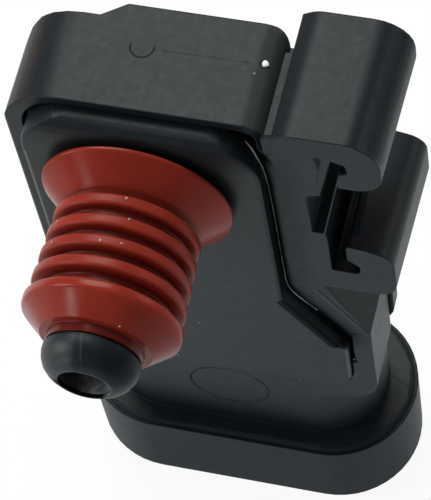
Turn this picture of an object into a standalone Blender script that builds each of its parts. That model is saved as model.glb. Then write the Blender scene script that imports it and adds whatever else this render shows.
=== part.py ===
"""Manifold absolute pressure sensor: moulded housing, bonded port cover, ribbed seal, measuring circuit."""

import math

import bmesh
import bpy
from mathutils import Matrix, Vector

# Sizes are in millimetres, about the port axis (x = z = 0). x runs across, y to the back, z to the end wall.
MM = 0.001
GAP = 0.3

# Housing block
BODY_LEFT = -12.2
BODY_RIGHT = 11.9
BODY_TOP = 10.7
BODY_FRONT = 0.0
BODY_BACK_THIN = 8.9
BODY_BACK_THICK = 10.4
BODY_BACK_STEP_LOW = -4.9
BODY_BACK_STEP_HIGH = -2.7
BODY_BOTTOM = -36.0
BODY_TOP_LEFT_RADIUS = 5.8
BODY_SIDE_RADIUS = 2.5
BODY_TOP_RIGHT_RADIUS = 2.4
CHEEK_LEFT = 10.6
CHEEK_THIN = 0.35
CHEEK_TURN = 60.0
SINK = 0.02
BODY_CORNER_RADIUS = 1.2
BODY_BACK_RADIUS = 2.2
EDGE_RADIUS = 0.4
WEB_TOP = 8.9
WEB_RIGHT = 13.6
BACK_RIGHT = 17.6
RIB_RIGHT = 19.8
RIB_BOTTOM = -34.3
RIB_THICKNESS = 1.5
RIB_GROOVE = 0.5

# Front frame to the right of the cover, and the neck under it
FRAME_FRONT = -1.3
FRAME_BACK = 5.2
FRAME_DIAGONAL_TOP = (15.2, -13.6)
FRAME_RIGHT = 19.4
FRAME_RIGHT_TOP = -22.7
FRAME_RIGHT_BOTTOM = -36.5
FRAME_CORNER_RADIUS = 4.0
FRAME_NECK_TOP = -34.5
FRAME_NECK_BOTTOM = -40.0
NECK_LEFT_FACE = -8.6

# Bracket block with its two hooks
HOOK_LEFT = 12.7
HOOK_TOP = 12.4
HOOK_BACK = 11.4
HOOK_DRAFT = 0.4
HOOK_SHOULDER = (1.4, 0.9)
UPPER_HOOK_RIGHT = 22.5
UPPER_HOOK_TOP_RADIUS = 3.5
UPPER_HOOK_RADIUS = 2.6
UPPER_HOOK_BOTTOM = 4.9
LIP_INNER = 18.1
UNDERCUT_RIGHT = 19.2
UNDERCUT_RADIUS = 0.55
SLOT_TOP = 9.4
SLOT_TOP_LEFT = 17.75
SLOT_WALL = 16.4
SLOT_WALL_TOP = 3.0
NOTCH_WALL = 15.1
NOTCH_TOP = 2.5
NOTCH_BOTTOM = -3.9
SLOT_BOTTOM = -10.7
UPPER_LIP_ROOT = 7.1
LOWER_LIP_ROOT = -8.3
LOWER_HOOK_TOP = -5.8
LOWER_HOOK_RIGHT = 22.85
LOWER_HOOK_BOTTOM = -14.2
LOWER_HOOK_RADIUS = 2.3
LOWER_HOOK_SLOPE_END = -6.7
LOWER_HOOK_SHOULDER_RADIUS = 2.2

# Connector shroud
SHROUD_CENTRE = (3.92, 5.0)
NECK_HALF_LENGTH = 14.6
NECK_RADIUS = 6.3
NECK_BOTTOM = -49.0
FLANGE_HALF_LENGTH = 17.5
FLANGE_RADIUS = 8.6
FLANGE_TOP = -48.0
FLANGE_BOTTOM = -59.2
FLANGE_EDGE = 0.45
FLANGE_LIP_INSET = 0.35
FLANGE_LIP_HEIGHT = 0.4
SHROUD_WALL = 1.7
SOCKET_MOUTH_TOP = -49.8
SOCKET_HALF_LENGTH = 12.9
SOCKET_RADIUS = 4.6
SOCKET_TOP = -45.0
LATCH_HALF_WIDTH = 3.2
LATCH_TOP = -51.0
LATCH_BOTTOM = -55.5
LATCH_HEIGHT = 1.3

# Port cover and its nozzle
COVER_FACE = -2.0
COVER_BACK = 0.4
COVER_LEFT = -10.2
COVER_TOP = 9.5
COVER_RIGHT = 11.4
COVER_DIAGONAL_TOP = -17.3
COVER_DIAGONAL_BOTTOM = (16.2, -25.4)
COVER_LOWER_RIGHT = 17.1
COVER_BOTTOM = -34.2
COVER_TOP_LEFT_RADIUS = 4.5
COVER_CORNER_RADIUS = 2.2
COVER_TOP_RIGHT_RADIUS = 5.0
COVER_LOWER_RADIUS = 2.8
COVER_EDGE_RADIUS = 0.45
COVER_BROW_RADIUS = 1.4
GROOVE_RIGHT = 12.0
GROOVE_DIAGONAL_TOP = -14.4
GROOVE_DIAGONAL_BOTTOM = (17.5, -23.6)
GROOVE_FLOOR = 1.6
POCKET_TOP_RIGHT_RADIUS = 3.0
GROOVE_EDGE_RADIUS = 0.9
GROOVE_EDGE_STEPS = 4
NOZZLE_RADIUS = 4.1
NOZZLE_HEAD_RADIUS = 4.4
NOZZLE_TIP = -21.3
NOZZLE_TIP_RADIUS = 2.65
BORE_MOUTH_RADIUS = 2.4
BORE_RADIUS = 1.6
BORE_STEP = -13.0

# Port seal
SEAL_FLARE_RADIUS = 8.7
SEAL_FLARE_RIM = 0.7
SEAL_CONE_END = -5.4
SEAL_BODY_RADIUS = 5.75
SEAL_CREST_COUNT = 4
SEAL_CREST_FIRST = -6.55
SEAL_CREST_PITCH = 2.07
SEAL_CREST_RADIUS_FIRST = 6.65
SEAL_CREST_RADIUS_LAST = 6.95
SEAL_CREST_WIDTH = 1.25
SEAL_CREST_EDGE = 0.18
SEAL_RING_RADIUS = 7.2
SEAL_RING_TOP = -14.5
SEAL_RING_LOW = -15.6
SEAL_CONE_LOW = -17.4
SEAL_COLLAR_RADIUS = 4.95
SEAL_END = -18.3

# Circuit cavity and what it holds
CAVITY_LEFT = -8.4
CAVITY_TOP = 7.6
CAVITY_SHELF = -17.6
CAVITY_BOTTOM = -26.0
CAVITY_FLOOR = 7.4
CAVITY_RADIUS = 1.0
CAVITY_LEDGE = 0.3
BLADE_WIDTH = 1.5
BLADE_THICKNESS = 0.8
BLADE_PITCH = 4.6
BLADE_COUNT = 3
BLADE_TIP = -55.2
BLADE_TIP_LENGTH = 1.2
BLADE_TIP_THICKNESS = 0.3
BLADE_TOP = -19.4
BLADE_MARGIN = 0.9
CAVITY_RIGHT = SHROUD_CENTRE[0] + (BLADE_COUNT - 1) / 2.0 * BLADE_PITCH + BLADE_WIDTH / 2.0 + BLADE_MARGIN
ADHESIVE_THICKNESS = 0.3
SUBSTRATE_THICKNESS = 0.7
SUBSTRATE_MARGIN = 0.9
PEDESTAL_HALF = 1.4
PEDESTAL_HEIGHT = 1.0
DIE_HALF = 1.1
DIE_HEIGHT = 0.5
DAM_INNER = 2.3
DAM_OUTER = 3.2
DAM_HEIGHT = 2.2
CHIP_HALF_WIDTH = 2.7
CHIP_HALF_LENGTH = 2.0
CHIP_HEIGHT = 0.8
CAPACITOR_HALF = (0.6, 1.0)
CAPACITOR_HEIGHT = 1.0
RESISTOR_HALF = (0.8, 0.5)
RESISTOR_HEIGHT = 0.5
COLUMN_LEFT = -5.6
COLUMN_MIDDLE = 0.5
COLUMN_RIGHT = 6.0
ROW_TOP = 2.5
ROW_MIDDLE = -2.0
ROW_LOW = -7.6
STRAP_WIDTH = 0.6
STRAP_THICKNESS = 0.3
STRAP_RISE = 1.0

ARC_STEPS = 6
STADIUM_STEPS = 24
ROUND_STEPS = 48
SHARP_ANGLE = math.radians(32.0)


def clear_scene():
    for item in list(bpy.data.objects):
        bpy.data.objects.remove(item, do_unlink=True)


def make_material(name, colour, roughness, metallic=0.0):
    material = bpy.data.materials.new(name)
    material.use_nodes = True
    shader = material.node_tree.nodes["Principled BSDF"]
    shader.inputs["Base Color"].default_value = (*colour, 1.0)
    shader.inputs["Roughness"].default_value = roughness
    shader.inputs["Metallic"].default_value = metallic
    return material


def rounded(corners, steps=ARC_STEPS):
    """Outline through corners (a, b, radius), each turned into an arc of its radius."""
    points = []
    count = len(corners)
    for i, (a, b, radius) in enumerate(corners):
        here = Vector((a, b))
        before = Vector(corners[i - 1][:2])
        after = Vector(corners[(i + 1) % count][:2])
        if radius <= 0.0:
            points.append(here)
            continue
        arriving = (before - here).normalized()
        leaving = (after - here).normalized()
        half = arriving.angle(leaving) / 2.0
        reach = radius / math.tan(half)
        centre = here + (arriving + leaving).normalized() * (radius / math.sin(half))
        start = here + arriving * reach - centre
        end = here + leaving * reach - centre
        sweep = start.angle_signed(end)
        for k in range(steps + 1):
            turn = Matrix.Rotation(-sweep * k / steps, 2)
            points.append(centre + turn @ start)
    return points


def stadium(half_length, radius, steps=STADIUM_STEPS):
    """Outline of two half circles joined by straight sides, about the shroud's centre."""
    points = []
    for side in (1, -1):
        centre_x = SHROUD_CENTRE[0] + side * (half_length - radius)
        start = -math.pi / 2 if side == 1 else math.pi / 2
        for k in range(steps + 1):
            angle = start + math.pi * k / steps
            x = centre_x + radius * math.cos(angle)
            y = SHROUD_CENTRE[1] + radius * math.sin(angle)
            points.append(Vector((x, y)))
    return points


def place(axis, along, a, b):
    if axis == "X":
        return Vector((along, a, b))
    if axis == "Y":
        return Vector((a, along, b))
    return Vector((a, b, along))


def finish(mesh_data, name):
    bmesh.ops.recalc_face_normals(mesh_data, faces=mesh_data.faces)
    mesh_data.transform(Matrix.Scale(MM, 4))
    mesh = bpy.data.meshes.new(name)
    mesh_data.to_mesh(mesh)
    mesh_data.free()
    item = bpy.data.objects.new(name, mesh)
    bpy.context.scene.collection.objects.link(item)
    return item


def prism(name, outline, axis, low, high, edge=0.0, edge_side="both", edge_steps=2):
    """Outline drawn across an axis and carried from low to high, with its end edges rounded if asked."""
    shape = bmesh.new()
    bottom = [shape.verts.new(place(axis, low, *p[:2])) for p in outline]
    face = shape.faces.new(bottom)
    grown = bmesh.ops.extrude_face_region(shape, geom=[face])
    top = [v for v in grown["geom"] if isinstance(v, bmesh.types.BMVert)]
    bmesh.ops.translate(shape, verts=top, vec=place(axis, high - low, 0.0, 0.0))
    if edge > 0.0:
        top_set = set(top)
        bottom_set = set(bottom)
        chosen = []
        for e in shape.edges:
            on_top = e.verts[0] in top_set and e.verts[1] in top_set
            on_bottom = e.verts[0] in bottom_set and e.verts[1] in bottom_set
            if (on_top and edge_side != "low") or (on_bottom and edge_side != "high"):
                chosen.append(e)
        bmesh.ops.bevel(
            shape, geom=chosen, offset=edge, segments=edge_steps, profile=0.5, affect="EDGES", clamp_overlap=True
        )
    return finish(shape, name)


def turned(name, profile, steps=ROUND_STEPS):
    """Closed section (radius, y) spun about the port axis."""
    shape = bmesh.new()
    ring = [shape.verts.new((r, y, 0.0)) for r, y in profile]
    edges = [shape.edges.new((ring[i], ring[(i + 1) % len(ring)])) for i in range(len(ring))]
    bmesh.ops.spin(
        shape, geom=ring + edges, cent=(0, 0, 0), axis=(0, 1, 0), angle=math.tau, steps=steps, use_merge=True
    )
    bmesh.ops.remove_doubles(shape, verts=shape.verts, dist=0.00001)
    return finish(shape, name)


def box(name, x, y, z):
    outline = [Vector((x[0], y[0])), Vector((x[1], y[0])), Vector((x[1], y[1])), Vector((x[0], y[1]))]
    return prism(name, outline, "Z", z[0], z[1])


def block(name, spot, half, front, back):
    """Box lying parallel to the substrate, about a spot (x, z), between two depths."""
    return box(name, (spot[0] - half[0], spot[0] + half[0]), (front, back), (spot[1] - half[1], spot[1] + half[1]))


def combine(target, other, operation):
    modifier = target.modifiers.new("combine", "BOOLEAN")
    modifier.operation = operation
    modifier.solver = "EXACT"
    modifier.object = other
    bpy.context.view_layer.objects.active = target
    bpy.ops.object.modifier_apply(modifier=modifier.name)
    bpy.data.objects.remove(other, do_unlink=True)


def body_block():
    """Main block: its plan across z, trimmed to its rounded front outline."""
    plan = rounded(
        [
            (BODY_LEFT, BODY_FRONT, EDGE_RADIUS),
            (BODY_RIGHT, BODY_FRONT, 0.0),
            (BODY_RIGHT, BODY_BACK_THICK, BODY_CORNER_RADIUS),
            (BODY_BACK_STEP_HIGH, BODY_BACK_THICK, EDGE_RADIUS),
            (BODY_BACK_STEP_LOW, BODY_BACK_THIN, EDGE_RADIUS),
            (BODY_LEFT, BODY_BACK_THIN, BODY_BACK_RADIUS),
        ]
    )
    block = prism("housing", plan, "Z", BODY_BOTTOM - 1.0, BODY_TOP + 1.0)
    front = rounded(
        [
            (BODY_LEFT, BODY_BOTTOM, BODY_SIDE_RADIUS),
            (BODY_RIGHT + 1.0, BODY_BOTTOM, 0.0),
            (BODY_RIGHT + 1.0, WEB_TOP - 1.0, 0.0),
            (BODY_RIGHT, WEB_TOP - 1.0, 0.0),
            (BODY_RIGHT, BODY_TOP, BODY_TOP_RIGHT_RADIUS),
            (BODY_LEFT, BODY_TOP, BODY_TOP_LEFT_RADIUS),
        ]
    )
    envelope = prism("envelope", front, "Y", BODY_FRONT - 2.0, BODY_BACK_THICK + 2.0)
    combine(block, envelope, "INTERSECT")
    return block


def hook_block():
    """Bracket block: one outline with both hooks and the slot between them, carried through in y."""
    outline = rounded(
        [
            (HOOK_LEFT, LOWER_HOOK_BOTTOM + 1.0, 0.0),
            (HOOK_LEFT, HOOK_TOP - HOOK_SHOULDER[1], 0.4),
            (HOOK_LEFT + HOOK_SHOULDER[0], HOOK_TOP, 2.5),
            (UPPER_HOOK_RIGHT, HOOK_TOP, UPPER_HOOK_TOP_RADIUS),
            (UPPER_HOOK_RIGHT, UPPER_HOOK_BOTTOM, UPPER_HOOK_RADIUS),
            (LIP_INNER, UPPER_HOOK_BOTTOM, 0.2),
            (LIP_INNER + 0.2, UPPER_LIP_ROOT, 0.2),
            (UNDERCUT_RIGHT, UPPER_LIP_ROOT + 0.3, UNDERCUT_RADIUS),
            (UNDERCUT_RIGHT - 0.2, SLOT_TOP - 0.5, UNDERCUT_RADIUS),
            (SLOT_TOP_LEFT, SLOT_TOP, 0.2),
            (SLOT_WALL, SLOT_WALL_TOP, 0.0),
            (NOTCH_WALL, NOTCH_TOP, 0.0),
            (NOTCH_WALL + 0.1, NOTCH_BOTTOM, 0.0),
            (SLOT_WALL - 0.1, NOTCH_BOTTOM, 0.0),
            (SLOT_WALL + 0.1, NOTCH_BOTTOM - 1.2, 0.0),
            (SLOT_WALL + 0.1, SLOT_BOTTOM, 0.3),
            (UNDERCUT_RIGHT, SLOT_BOTTOM, UNDERCUT_RADIUS),
            (UNDERCUT_RIGHT, SLOT_BOTTOM + 1.4, UNDERCUT_RADIUS),
            (LIP_INNER, LOWER_LIP_ROOT, 0.2),
            (LIP_INNER, LOWER_HOOK_TOP, 0.4),
            (LIP_INNER + 1.6, LOWER_HOOK_TOP - 0.2, 0.0),
            (LOWER_HOOK_RIGHT, LOWER_HOOK_SLOPE_END, LOWER_HOOK_SHOULDER_RADIUS),
            (LOWER_HOOK_RIGHT, LOWER_HOOK_BOTTOM, LOWER_HOOK_RADIUS),
            (FRAME_DIAGONAL_TOP[0], LOWER_HOOK_BOTTOM, 0.0),
        ]
    )
    bracket = prism("bracket", outline, "Y", FRAME_FRONT, HOOK_BACK)
    for vertex in bracket.data.vertices:
        spot = vertex.co / MM
        if spot.x > LIP_INNER + 2.0 and abs(spot.y - FRAME_FRONT) < 0.01:
            vertex.co.x -= HOOK_DRAFT * MM
    return bracket


def front_frame():
    """Strip of the front face that runs beside the cover's diagonal and on into the neck."""
    outline = rounded(
        [
            (BODY_RIGHT - 1.0, WEB_TOP, 0.0),
            (WEB_RIGHT, WEB_TOP, 0.0),
            (WEB_RIGHT, FRAME_DIAGONAL_TOP[1] + 2.0, 0.0),
            (*FRAME_DIAGONAL_TOP, 0.0),
            (FRAME_RIGHT, FRAME_RIGHT_TOP, 0.5),
            (FRAME_RIGHT, FRAME_RIGHT_BOTTOM, FRAME_CORNER_RADIUS),
            (SHROUD_CENTRE[0] + 8.0, FRAME_NECK_BOTTOM, 0.0),
            (NECK_LEFT_FACE, FRAME_NECK_BOTTOM, 0.0),
            (NECK_LEFT_FACE, FRAME_NECK_TOP, 0.0),
            (BODY_RIGHT - 1.0, FRAME_NECK_TOP, 0.0),
        ]
    )
    return prism("frame", outline, "Y", FRAME_FRONT, FRAME_BACK)


def cheek():
    """Front wall beside the pocket's corner: it swells out of the body and closes the valley, thin there."""
    front = FRAME_FRONT + SINK
    swell = BODY_RIGHT - CHEEK_LEFT
    depth = BODY_FRONT - front
    plan = [Vector((CHEEK_LEFT, BODY_FRONT + 0.2))]
    for k in range(ARC_STEPS + 1):
        share = k / ARC_STEPS
        rise = 0.5 - 0.5 * math.cos(math.pi * share)
        plan.append(Vector((CHEEK_LEFT + swell * share, BODY_FRONT - SINK - (depth - SINK) * rise)))
    plan += [
        Vector((HOOK_LEFT + 0.8, front)),
        Vector((HOOK_LEFT + 0.8, front + CHEEK_THIN)),
        Vector((BODY_RIGHT - 0.1, front + CHEEK_THIN)),
        Vector((BODY_RIGHT - 0.1, BODY_FRONT + 0.2)),
    ]
    wall = prism("cheek", plan, "Z", WEB_TOP - 1.0, HOOK_TOP)
    shoulder = HOOK_TOP - HOOK_SHOULDER[1]
    low = math.asin(SINK / BODY_TOP_RIGHT_RADIUS)
    turn = math.radians(CHEEK_TURN)
    radius = BODY_TOP_RIGHT_RADIUS
    outline = [
        Vector((CHEEK_LEFT - 0.2, WEB_TOP - 2.0)),
        Vector((HOOK_LEFT + 1.0, WEB_TOP - 2.0)),
        Vector((HOOK_LEFT + 1.0, shoulder + 0.5)),
        Vector((BODY_RIGHT + 0.3, shoulder)),
        Vector((BODY_RIGHT - 0.1, shoulder - 0.4)),
    ]
    for k in range(ARC_STEPS + 1):
        angle = low + (turn - low) * k / ARC_STEPS
        x = BODY_RIGHT - radius + radius * math.cos(angle)
        outline.append(Vector((x, BODY_TOP - radius + radius * math.sin(angle) + SINK)))
    combine(wall, prism("limit", outline, "Y", FRAME_FRONT - 1.0, BODY_FRONT + 1.0), "INTERSECT")
    return wall


def side_rib():
    """Rib on the right side, behind the frame, with a narrow groove between the two."""
    outline = rounded(
        [
            (BACK_RIGHT - 2.0, LOWER_HOOK_BOTTOM + 1.0, 0.0),
            (RIB_RIGHT, LOWER_HOOK_BOTTOM + 1.0, 0.0),
            (RIB_RIGHT, RIB_BOTTOM, 3.6),
            (BACK_RIGHT - 2.0, RIB_BOTTOM, 0.0),
        ]
    )
    front = FRAME_BACK + RIB_GROOVE
    return prism("rib", outline, "Y", front, front + RIB_THICKNESS)


def cover_outline(grow=0.0):
    """The cover's outline, or the same outline let out for the joint under it."""
    return rounded(
        [
            (COVER_LEFT - grow, COVER_TOP + grow, COVER_TOP_LEFT_RADIUS),
            (COVER_RIGHT + grow, COVER_TOP + grow, COVER_TOP_RIGHT_RADIUS),
            (COVER_RIGHT + grow, COVER_DIAGONAL_TOP, 0.0),
            (COVER_DIAGONAL_BOTTOM[0], COVER_DIAGONAL_BOTTOM[1], 0.3),
            (COVER_LOWER_RIGHT + grow, COVER_DIAGONAL_BOTTOM[1], 0.4),
            (COVER_LOWER_RIGHT + grow, COVER_BOTTOM - grow, COVER_LOWER_RADIUS),
            (COVER_LEFT - grow, COVER_BOTTOM - grow, COVER_CORNER_RADIUS),
        ]
    )


def pocket_outline(shrink=0.0):
    """The moulded recess for the cover, wider than the cover along the diagonal."""
    return rounded(
        [
            (COVER_LEFT - GAP + shrink, COVER_TOP + GAP - shrink, COVER_TOP_LEFT_RADIUS),
            (GROOVE_RIGHT - shrink, COVER_TOP + GAP - shrink, POCKET_TOP_RIGHT_RADIUS),
            (GROOVE_RIGHT - shrink, GROOVE_DIAGONAL_TOP, 0.0),
            (GROOVE_DIAGONAL_BOTTOM[0] - shrink, GROOVE_DIAGONAL_BOTTOM[1], 0.0),
            (GROOVE_DIAGONAL_BOTTOM[0] - shrink, COVER_BOTTOM - GAP + shrink, COVER_LOWER_RADIUS),
            (COVER_LEFT - GAP + shrink, COVER_BOTTOM - GAP + shrink, COVER_CORNER_RADIUS),
        ]
    )


def beside(path, out):
    """The same path moved sideways by a distance, its corners mitred."""
    points = []
    for i, here in enumerate(path):
        arriving = (here - path[i - 1]).normalized() if i > 0 else None
        leaving = (path[i + 1] - here).normalized() if i + 1 < len(path) else arriving
        arriving = arriving or leaving
        along = (arriving + leaving).normalized()
        across = Vector((-along.y, along.x))
        points.append(here + across * out / along.dot(leaving))
    return points


def groove_edge():
    """Cutter that rounds the frame's edge all along the groove beside the cover."""
    radius = POCKET_TOP_RIGHT_RADIUS
    centre = Vector((GROOVE_RIGHT - radius, COVER_TOP + GAP - radius))
    path = []
    for k in range(5):
        angle = math.radians(50.0) * (1.0 - k / 4.0)
        path.append(centre + radius * Vector((math.cos(angle), math.sin(angle))))
    path.append(Vector((GROOVE_RIGHT, GROOVE_DIAGONAL_TOP)))
    path.append(Vector(GROOVE_DIAGONAL_BOTTOM))
    above = FRAME_FRONT - 0.1
    section = [(-0.3, above), (-0.3, FRAME_FRONT + GROOVE_EDGE_RADIUS)]
    for k in range(GROOVE_EDGE_STEPS + 1):
        angle = math.pi / 2.0 * k / GROOVE_EDGE_STEPS
        out = GROOVE_EDGE_RADIUS * (1.0 - math.cos(angle))
        section.append((out, FRAME_FRONT + GROOVE_EDGE_RADIUS * (1.0 - math.sin(angle))))
    section.append((GROOVE_EDGE_RADIUS + 0.2, above))
    shape = bmesh.new()
    lines = [[shape.verts.new((p.x, y, p.y)) for p in beside(path, out)] for out, y in section]
    for i, here in enumerate(lines):
        there = lines[(i + 1) % len(lines)]
        for k in range(len(path) - 1):
            shape.faces.new((here[k], here[k + 1], there[k + 1], there[k]))
    shape.faces.new([line[0] for line in lines])
    shape.faces.new([line[-1] for line in lines])
    return finish(shape, "groove_edge")


def cavity_outline(grow, bottom):
    return rounded(
        [
            (CAVITY_LEFT - grow, CAVITY_TOP + grow, CAVITY_RADIUS),
            (CAVITY_RIGHT + grow, CAVITY_TOP + grow, CAVITY_RADIUS),
            (CAVITY_RIGHT + grow, bottom - grow, CAVITY_RADIUS),
            (CAVITY_LEFT - grow, bottom - grow, CAVITY_RADIUS),
        ],
        3,
    )


def blade_centres():
    middle = (BLADE_COUNT - 1) / 2.0
    return [SHROUD_CENTRE[0] + (i - middle) * BLADE_PITCH for i in range(BLADE_COUNT)]


def add_latch(housing):
    """Ramp on the back of the shroud that a mating plug's clip snaps over."""
    back = SHROUD_CENTRE[1] + FLANGE_RADIUS
    outline = [
        Vector((back - 1.0, LATCH_TOP)),
        Vector((back + LATCH_HEIGHT, LATCH_TOP)),
        Vector((back + LATCH_HEIGHT, LATCH_TOP - 1.0)),
        Vector((back, LATCH_BOTTOM)),
        Vector((back - 1.0, LATCH_BOTTOM)),
    ]
    middle = SHROUD_CENTRE[0]
    ramp = prism("ramp", outline, "X", middle - LATCH_HALF_WIDTH, middle + LATCH_HALF_WIDTH)
    combine(housing, ramp, "UNION")


def build_housing():
    housing = body_block()
    combine(housing, box("rear", (BODY_RIGHT - 2.0, BACK_RIGHT), (FRAME_BACK - 2.0, BODY_BACK_THICK - 0.1),
                         (BODY_BOTTOM + 0.6, LOWER_HOOK_BOTTOM + 1.5)), "UNION")
    combine(housing, box("web", (BODY_RIGHT - 1.5, WEB_RIGHT), (FRAME_FRONT + 0.6, BODY_BACK_THICK - 0.9),
                         (LOWER_HOOK_BOTTOM - 0.5, WEB_TOP - 0.1)), "UNION")
    combine(housing, front_frame(), "UNION")
    combine(housing, hook_block(), "UNION")
    combine(housing, cheek(), "UNION")
    combine(housing, side_rib(), "UNION")
    neck = prism("neck", stadium(NECK_HALF_LENGTH, NECK_RADIUS), "Z", NECK_BOTTOM, FRAME_NECK_TOP - 0.2)
    combine(housing, neck, "UNION")
    flange = prism(
        "flange", stadium(FLANGE_HALF_LENGTH, FLANGE_RADIUS), "Z", FLANGE_BOTTOM, FLANGE_TOP - FLANGE_LIP_HEIGHT,
        FLANGE_EDGE, "low",
    )
    combine(housing, flange, "UNION")
    lip_length = FLANGE_HALF_LENGTH - FLANGE_LIP_INSET
    lip_radius = FLANGE_RADIUS - FLANGE_LIP_INSET
    lip = prism("lip", stadium(lip_length, lip_radius), "Z", FLANGE_TOP - 2.0, FLANGE_TOP, FLANGE_EDGE, "high")
    combine(housing, lip, "UNION")
    add_latch(housing)
    mouth = stadium(FLANGE_HALF_LENGTH - SHROUD_WALL, FLANGE_RADIUS - SHROUD_WALL)
    combine(housing, prism("mouth", mouth, "Z", FLANGE_BOTTOM - 1.0, SOCKET_MOUTH_TOP), "DIFFERENCE")
    socket = stadium(SOCKET_HALF_LENGTH, SOCKET_RADIUS)
    combine(housing, prism("socket", socket, "Z", SOCKET_MOUTH_TOP - 1.0, SOCKET_TOP), "DIFFERENCE")
    combine(housing, groove_edge(), "DIFFERENCE")
    combine(housing, prism("pocket", pocket_outline(), "Y", COVER_FACE - 2.0, GROOVE_FLOOR), "DIFFERENCE")
    shelf = SHROUD_CENTRE[1] + BLADE_THICKNESS / 2.0 + GAP
    combine(housing, prism("shelf", cavity_outline(0.0, CAVITY_BOTTOM), "Y", 0.0, shelf), "DIFFERENCE")
    well = cavity_outline(-CAVITY_LEDGE, CAVITY_SHELF - CAVITY_LEDGE)
    combine(housing, prism("well", well, "Y", shelf - 1.0, CAVITY_FLOOR), "DIFFERENCE")
    half_width = BLADE_WIDTH / 2.0 + GAP
    for x in blade_centres():
        passage = box(
            "passage", (x - half_width, x + half_width), (shelf - BLADE_THICKNESS - 2.0 * GAP, shelf),
            (SOCKET_TOP - 1.0, CAVITY_BOTTOM + 1.0),
        )
        combine(housing, passage, "DIFFERENCE")
    return housing


def cover_brow():
    """Cutter that gives the cover's top edge a much rounder brow than its other edges."""
    radius = COVER_BROW_RADIUS
    outline = [
        Vector((COVER_FACE + radius, COVER_TOP + 1.0)),
        Vector((COVER_FACE - 1.0, COVER_TOP + 1.0)),
        Vector((COVER_FACE - 1.0, COVER_TOP - radius)),
    ]
    for k in range(ARC_STEPS + 1):
        angle = math.pi / 2.0 * k / ARC_STEPS
        y = COVER_FACE + radius * (1.0 - math.cos(angle))
        outline.append(Vector((y, COVER_TOP - radius * (1.0 - math.sin(angle)))))
    return prism("brow", outline, "X", COVER_LEFT - 1.0, COVER_RIGHT + 1.0)


def build_cover():
    """Flat cover plate with the port nozzle and its retaining head standing on it, bored through."""
    head = SEAL_END - GAP
    cover = prism(
        "port_cover", cover_outline(), "Y", COVER_FACE, COVER_BACK, COVER_EDGE_RADIUS * 0.98, "low", 3
    )
    combine(cover, cover_brow(), "DIFFERENCE")
    nozzle = turned(
        "nozzle",
        [
            (0.6, COVER_FACE + 0.8),
            (NOZZLE_RADIUS, COVER_FACE + 0.8),
            (NOZZLE_RADIUS, head),
            (NOZZLE_HEAD_RADIUS, head),
            (NOZZLE_HEAD_RADIUS, head - 0.55),
            (NOZZLE_HEAD_RADIUS - 0.12, head - 1.1),
            (NOZZLE_HEAD_RADIUS - 0.45, head - 1.75),
            (NOZZLE_HEAD_RADIUS - 1.0, head - 2.3),
            (NOZZLE_TIP_RADIUS, NOZZLE_TIP),
            (0.6, NOZZLE_TIP),
        ],
    )
    combine(cover, nozzle, "UNION")
    bore = turned(
        "bore",
        [
            (0.0, COVER_BACK + 1.0),
            (BORE_RADIUS, COVER_BACK + 1.0),
            (BORE_RADIUS, BORE_STEP),
            (BORE_MOUTH_RADIUS - 0.3, BORE_STEP - 0.8),
            (BORE_MOUTH_RADIUS, NOZZLE_TIP - 1.0),
            (0.0, NOZZLE_TIP - 1.0),
        ],
    )
    combine(cover, bore, "DIFFERENCE")
    return cover


def build_seal():
    """Silicone seal: flare against the cover, four crests, and the bigger ring that closes the manifold hole."""
    inner = NOZZLE_RADIUS + GAP
    base = COVER_FACE - GAP
    profile = [
        (inner, base),
        (SEAL_FLARE_RADIUS - 0.3, base),
        (SEAL_FLARE_RADIUS, base - 0.25),
        (SEAL_FLARE_RADIUS, base - SEAL_FLARE_RIM),
        (SEAL_FLARE_RADIUS - 0.25, base - SEAL_FLARE_RIM - 0.3),
        (7.35, base - 1.75),
        (6.65, base - 2.45),
        (6.3, SEAL_CONE_END),
        (SEAL_BODY_RADIUS + 0.2, SEAL_CONE_END - 0.12),
    ]
    half = SEAL_CREST_WIDTH / 2.0
    for i in range(SEAL_CREST_COUNT):
        share = i / (SEAL_CREST_COUNT - 1)
        radius = SEAL_CREST_RADIUS_FIRST + share * (SEAL_CREST_RADIUS_LAST - SEAL_CREST_RADIUS_FIRST)
        middle = SEAL_CREST_FIRST - i * SEAL_CREST_PITCH
        profile += [
            (SEAL_BODY_RADIUS + 0.15, middle + half + 0.05),
            (radius - SEAL_CREST_EDGE, middle + half - 0.05),
            (radius, middle + half - SEAL_CREST_EDGE - 0.05),
            (radius, middle - half + SEAL_CREST_EDGE),
            (radius - SEAL_CREST_EDGE, middle - half),
            (SEAL_BODY_RADIUS, middle - half - 0.1),
        ]
    profile += [
        (SEAL_BODY_RADIUS, SEAL_RING_TOP + 0.05),
        (SEAL_RING_RADIUS - 0.25, SEAL_RING_TOP - 0.05),
        (SEAL_RING_RADIUS, SEAL_RING_TOP - 0.25),
        (SEAL_RING_RADIUS, SEAL_RING_LOW),
        (SEAL_RING_RADIUS - 0.2, SEAL_RING_LOW - 0.3),
        (SEAL_COLLAR_RADIUS + 0.3, SEAL_CONE_LOW + 0.15),
        (SEAL_COLLAR_RADIUS, SEAL_CONE_LOW),
        (SEAL_COLLAR_RADIUS, SEAL_END + 0.1),
        (SEAL_COLLAR_RADIUS - 0.1, SEAL_END),
        (inner, SEAL_END),
    ]
    return turned("port_seal", profile)


def build_cover_adhesive():
    """Bead under the cover's edge, visible in the groove along the diagonal."""
    back = GROOVE_FLOOR - GAP
    front = COVER_BACK + GAP
    bead = prism("cover_adhesive", pocket_outline(GAP), "Y", front, back)
    hollow = prism("hollow", cavity_outline(GAP, CAVITY_BOTTOM), "Y", front - 1.0, back + 1.0)
    combine(bead, hollow, "DIFFERENCE")
    return bead


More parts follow.
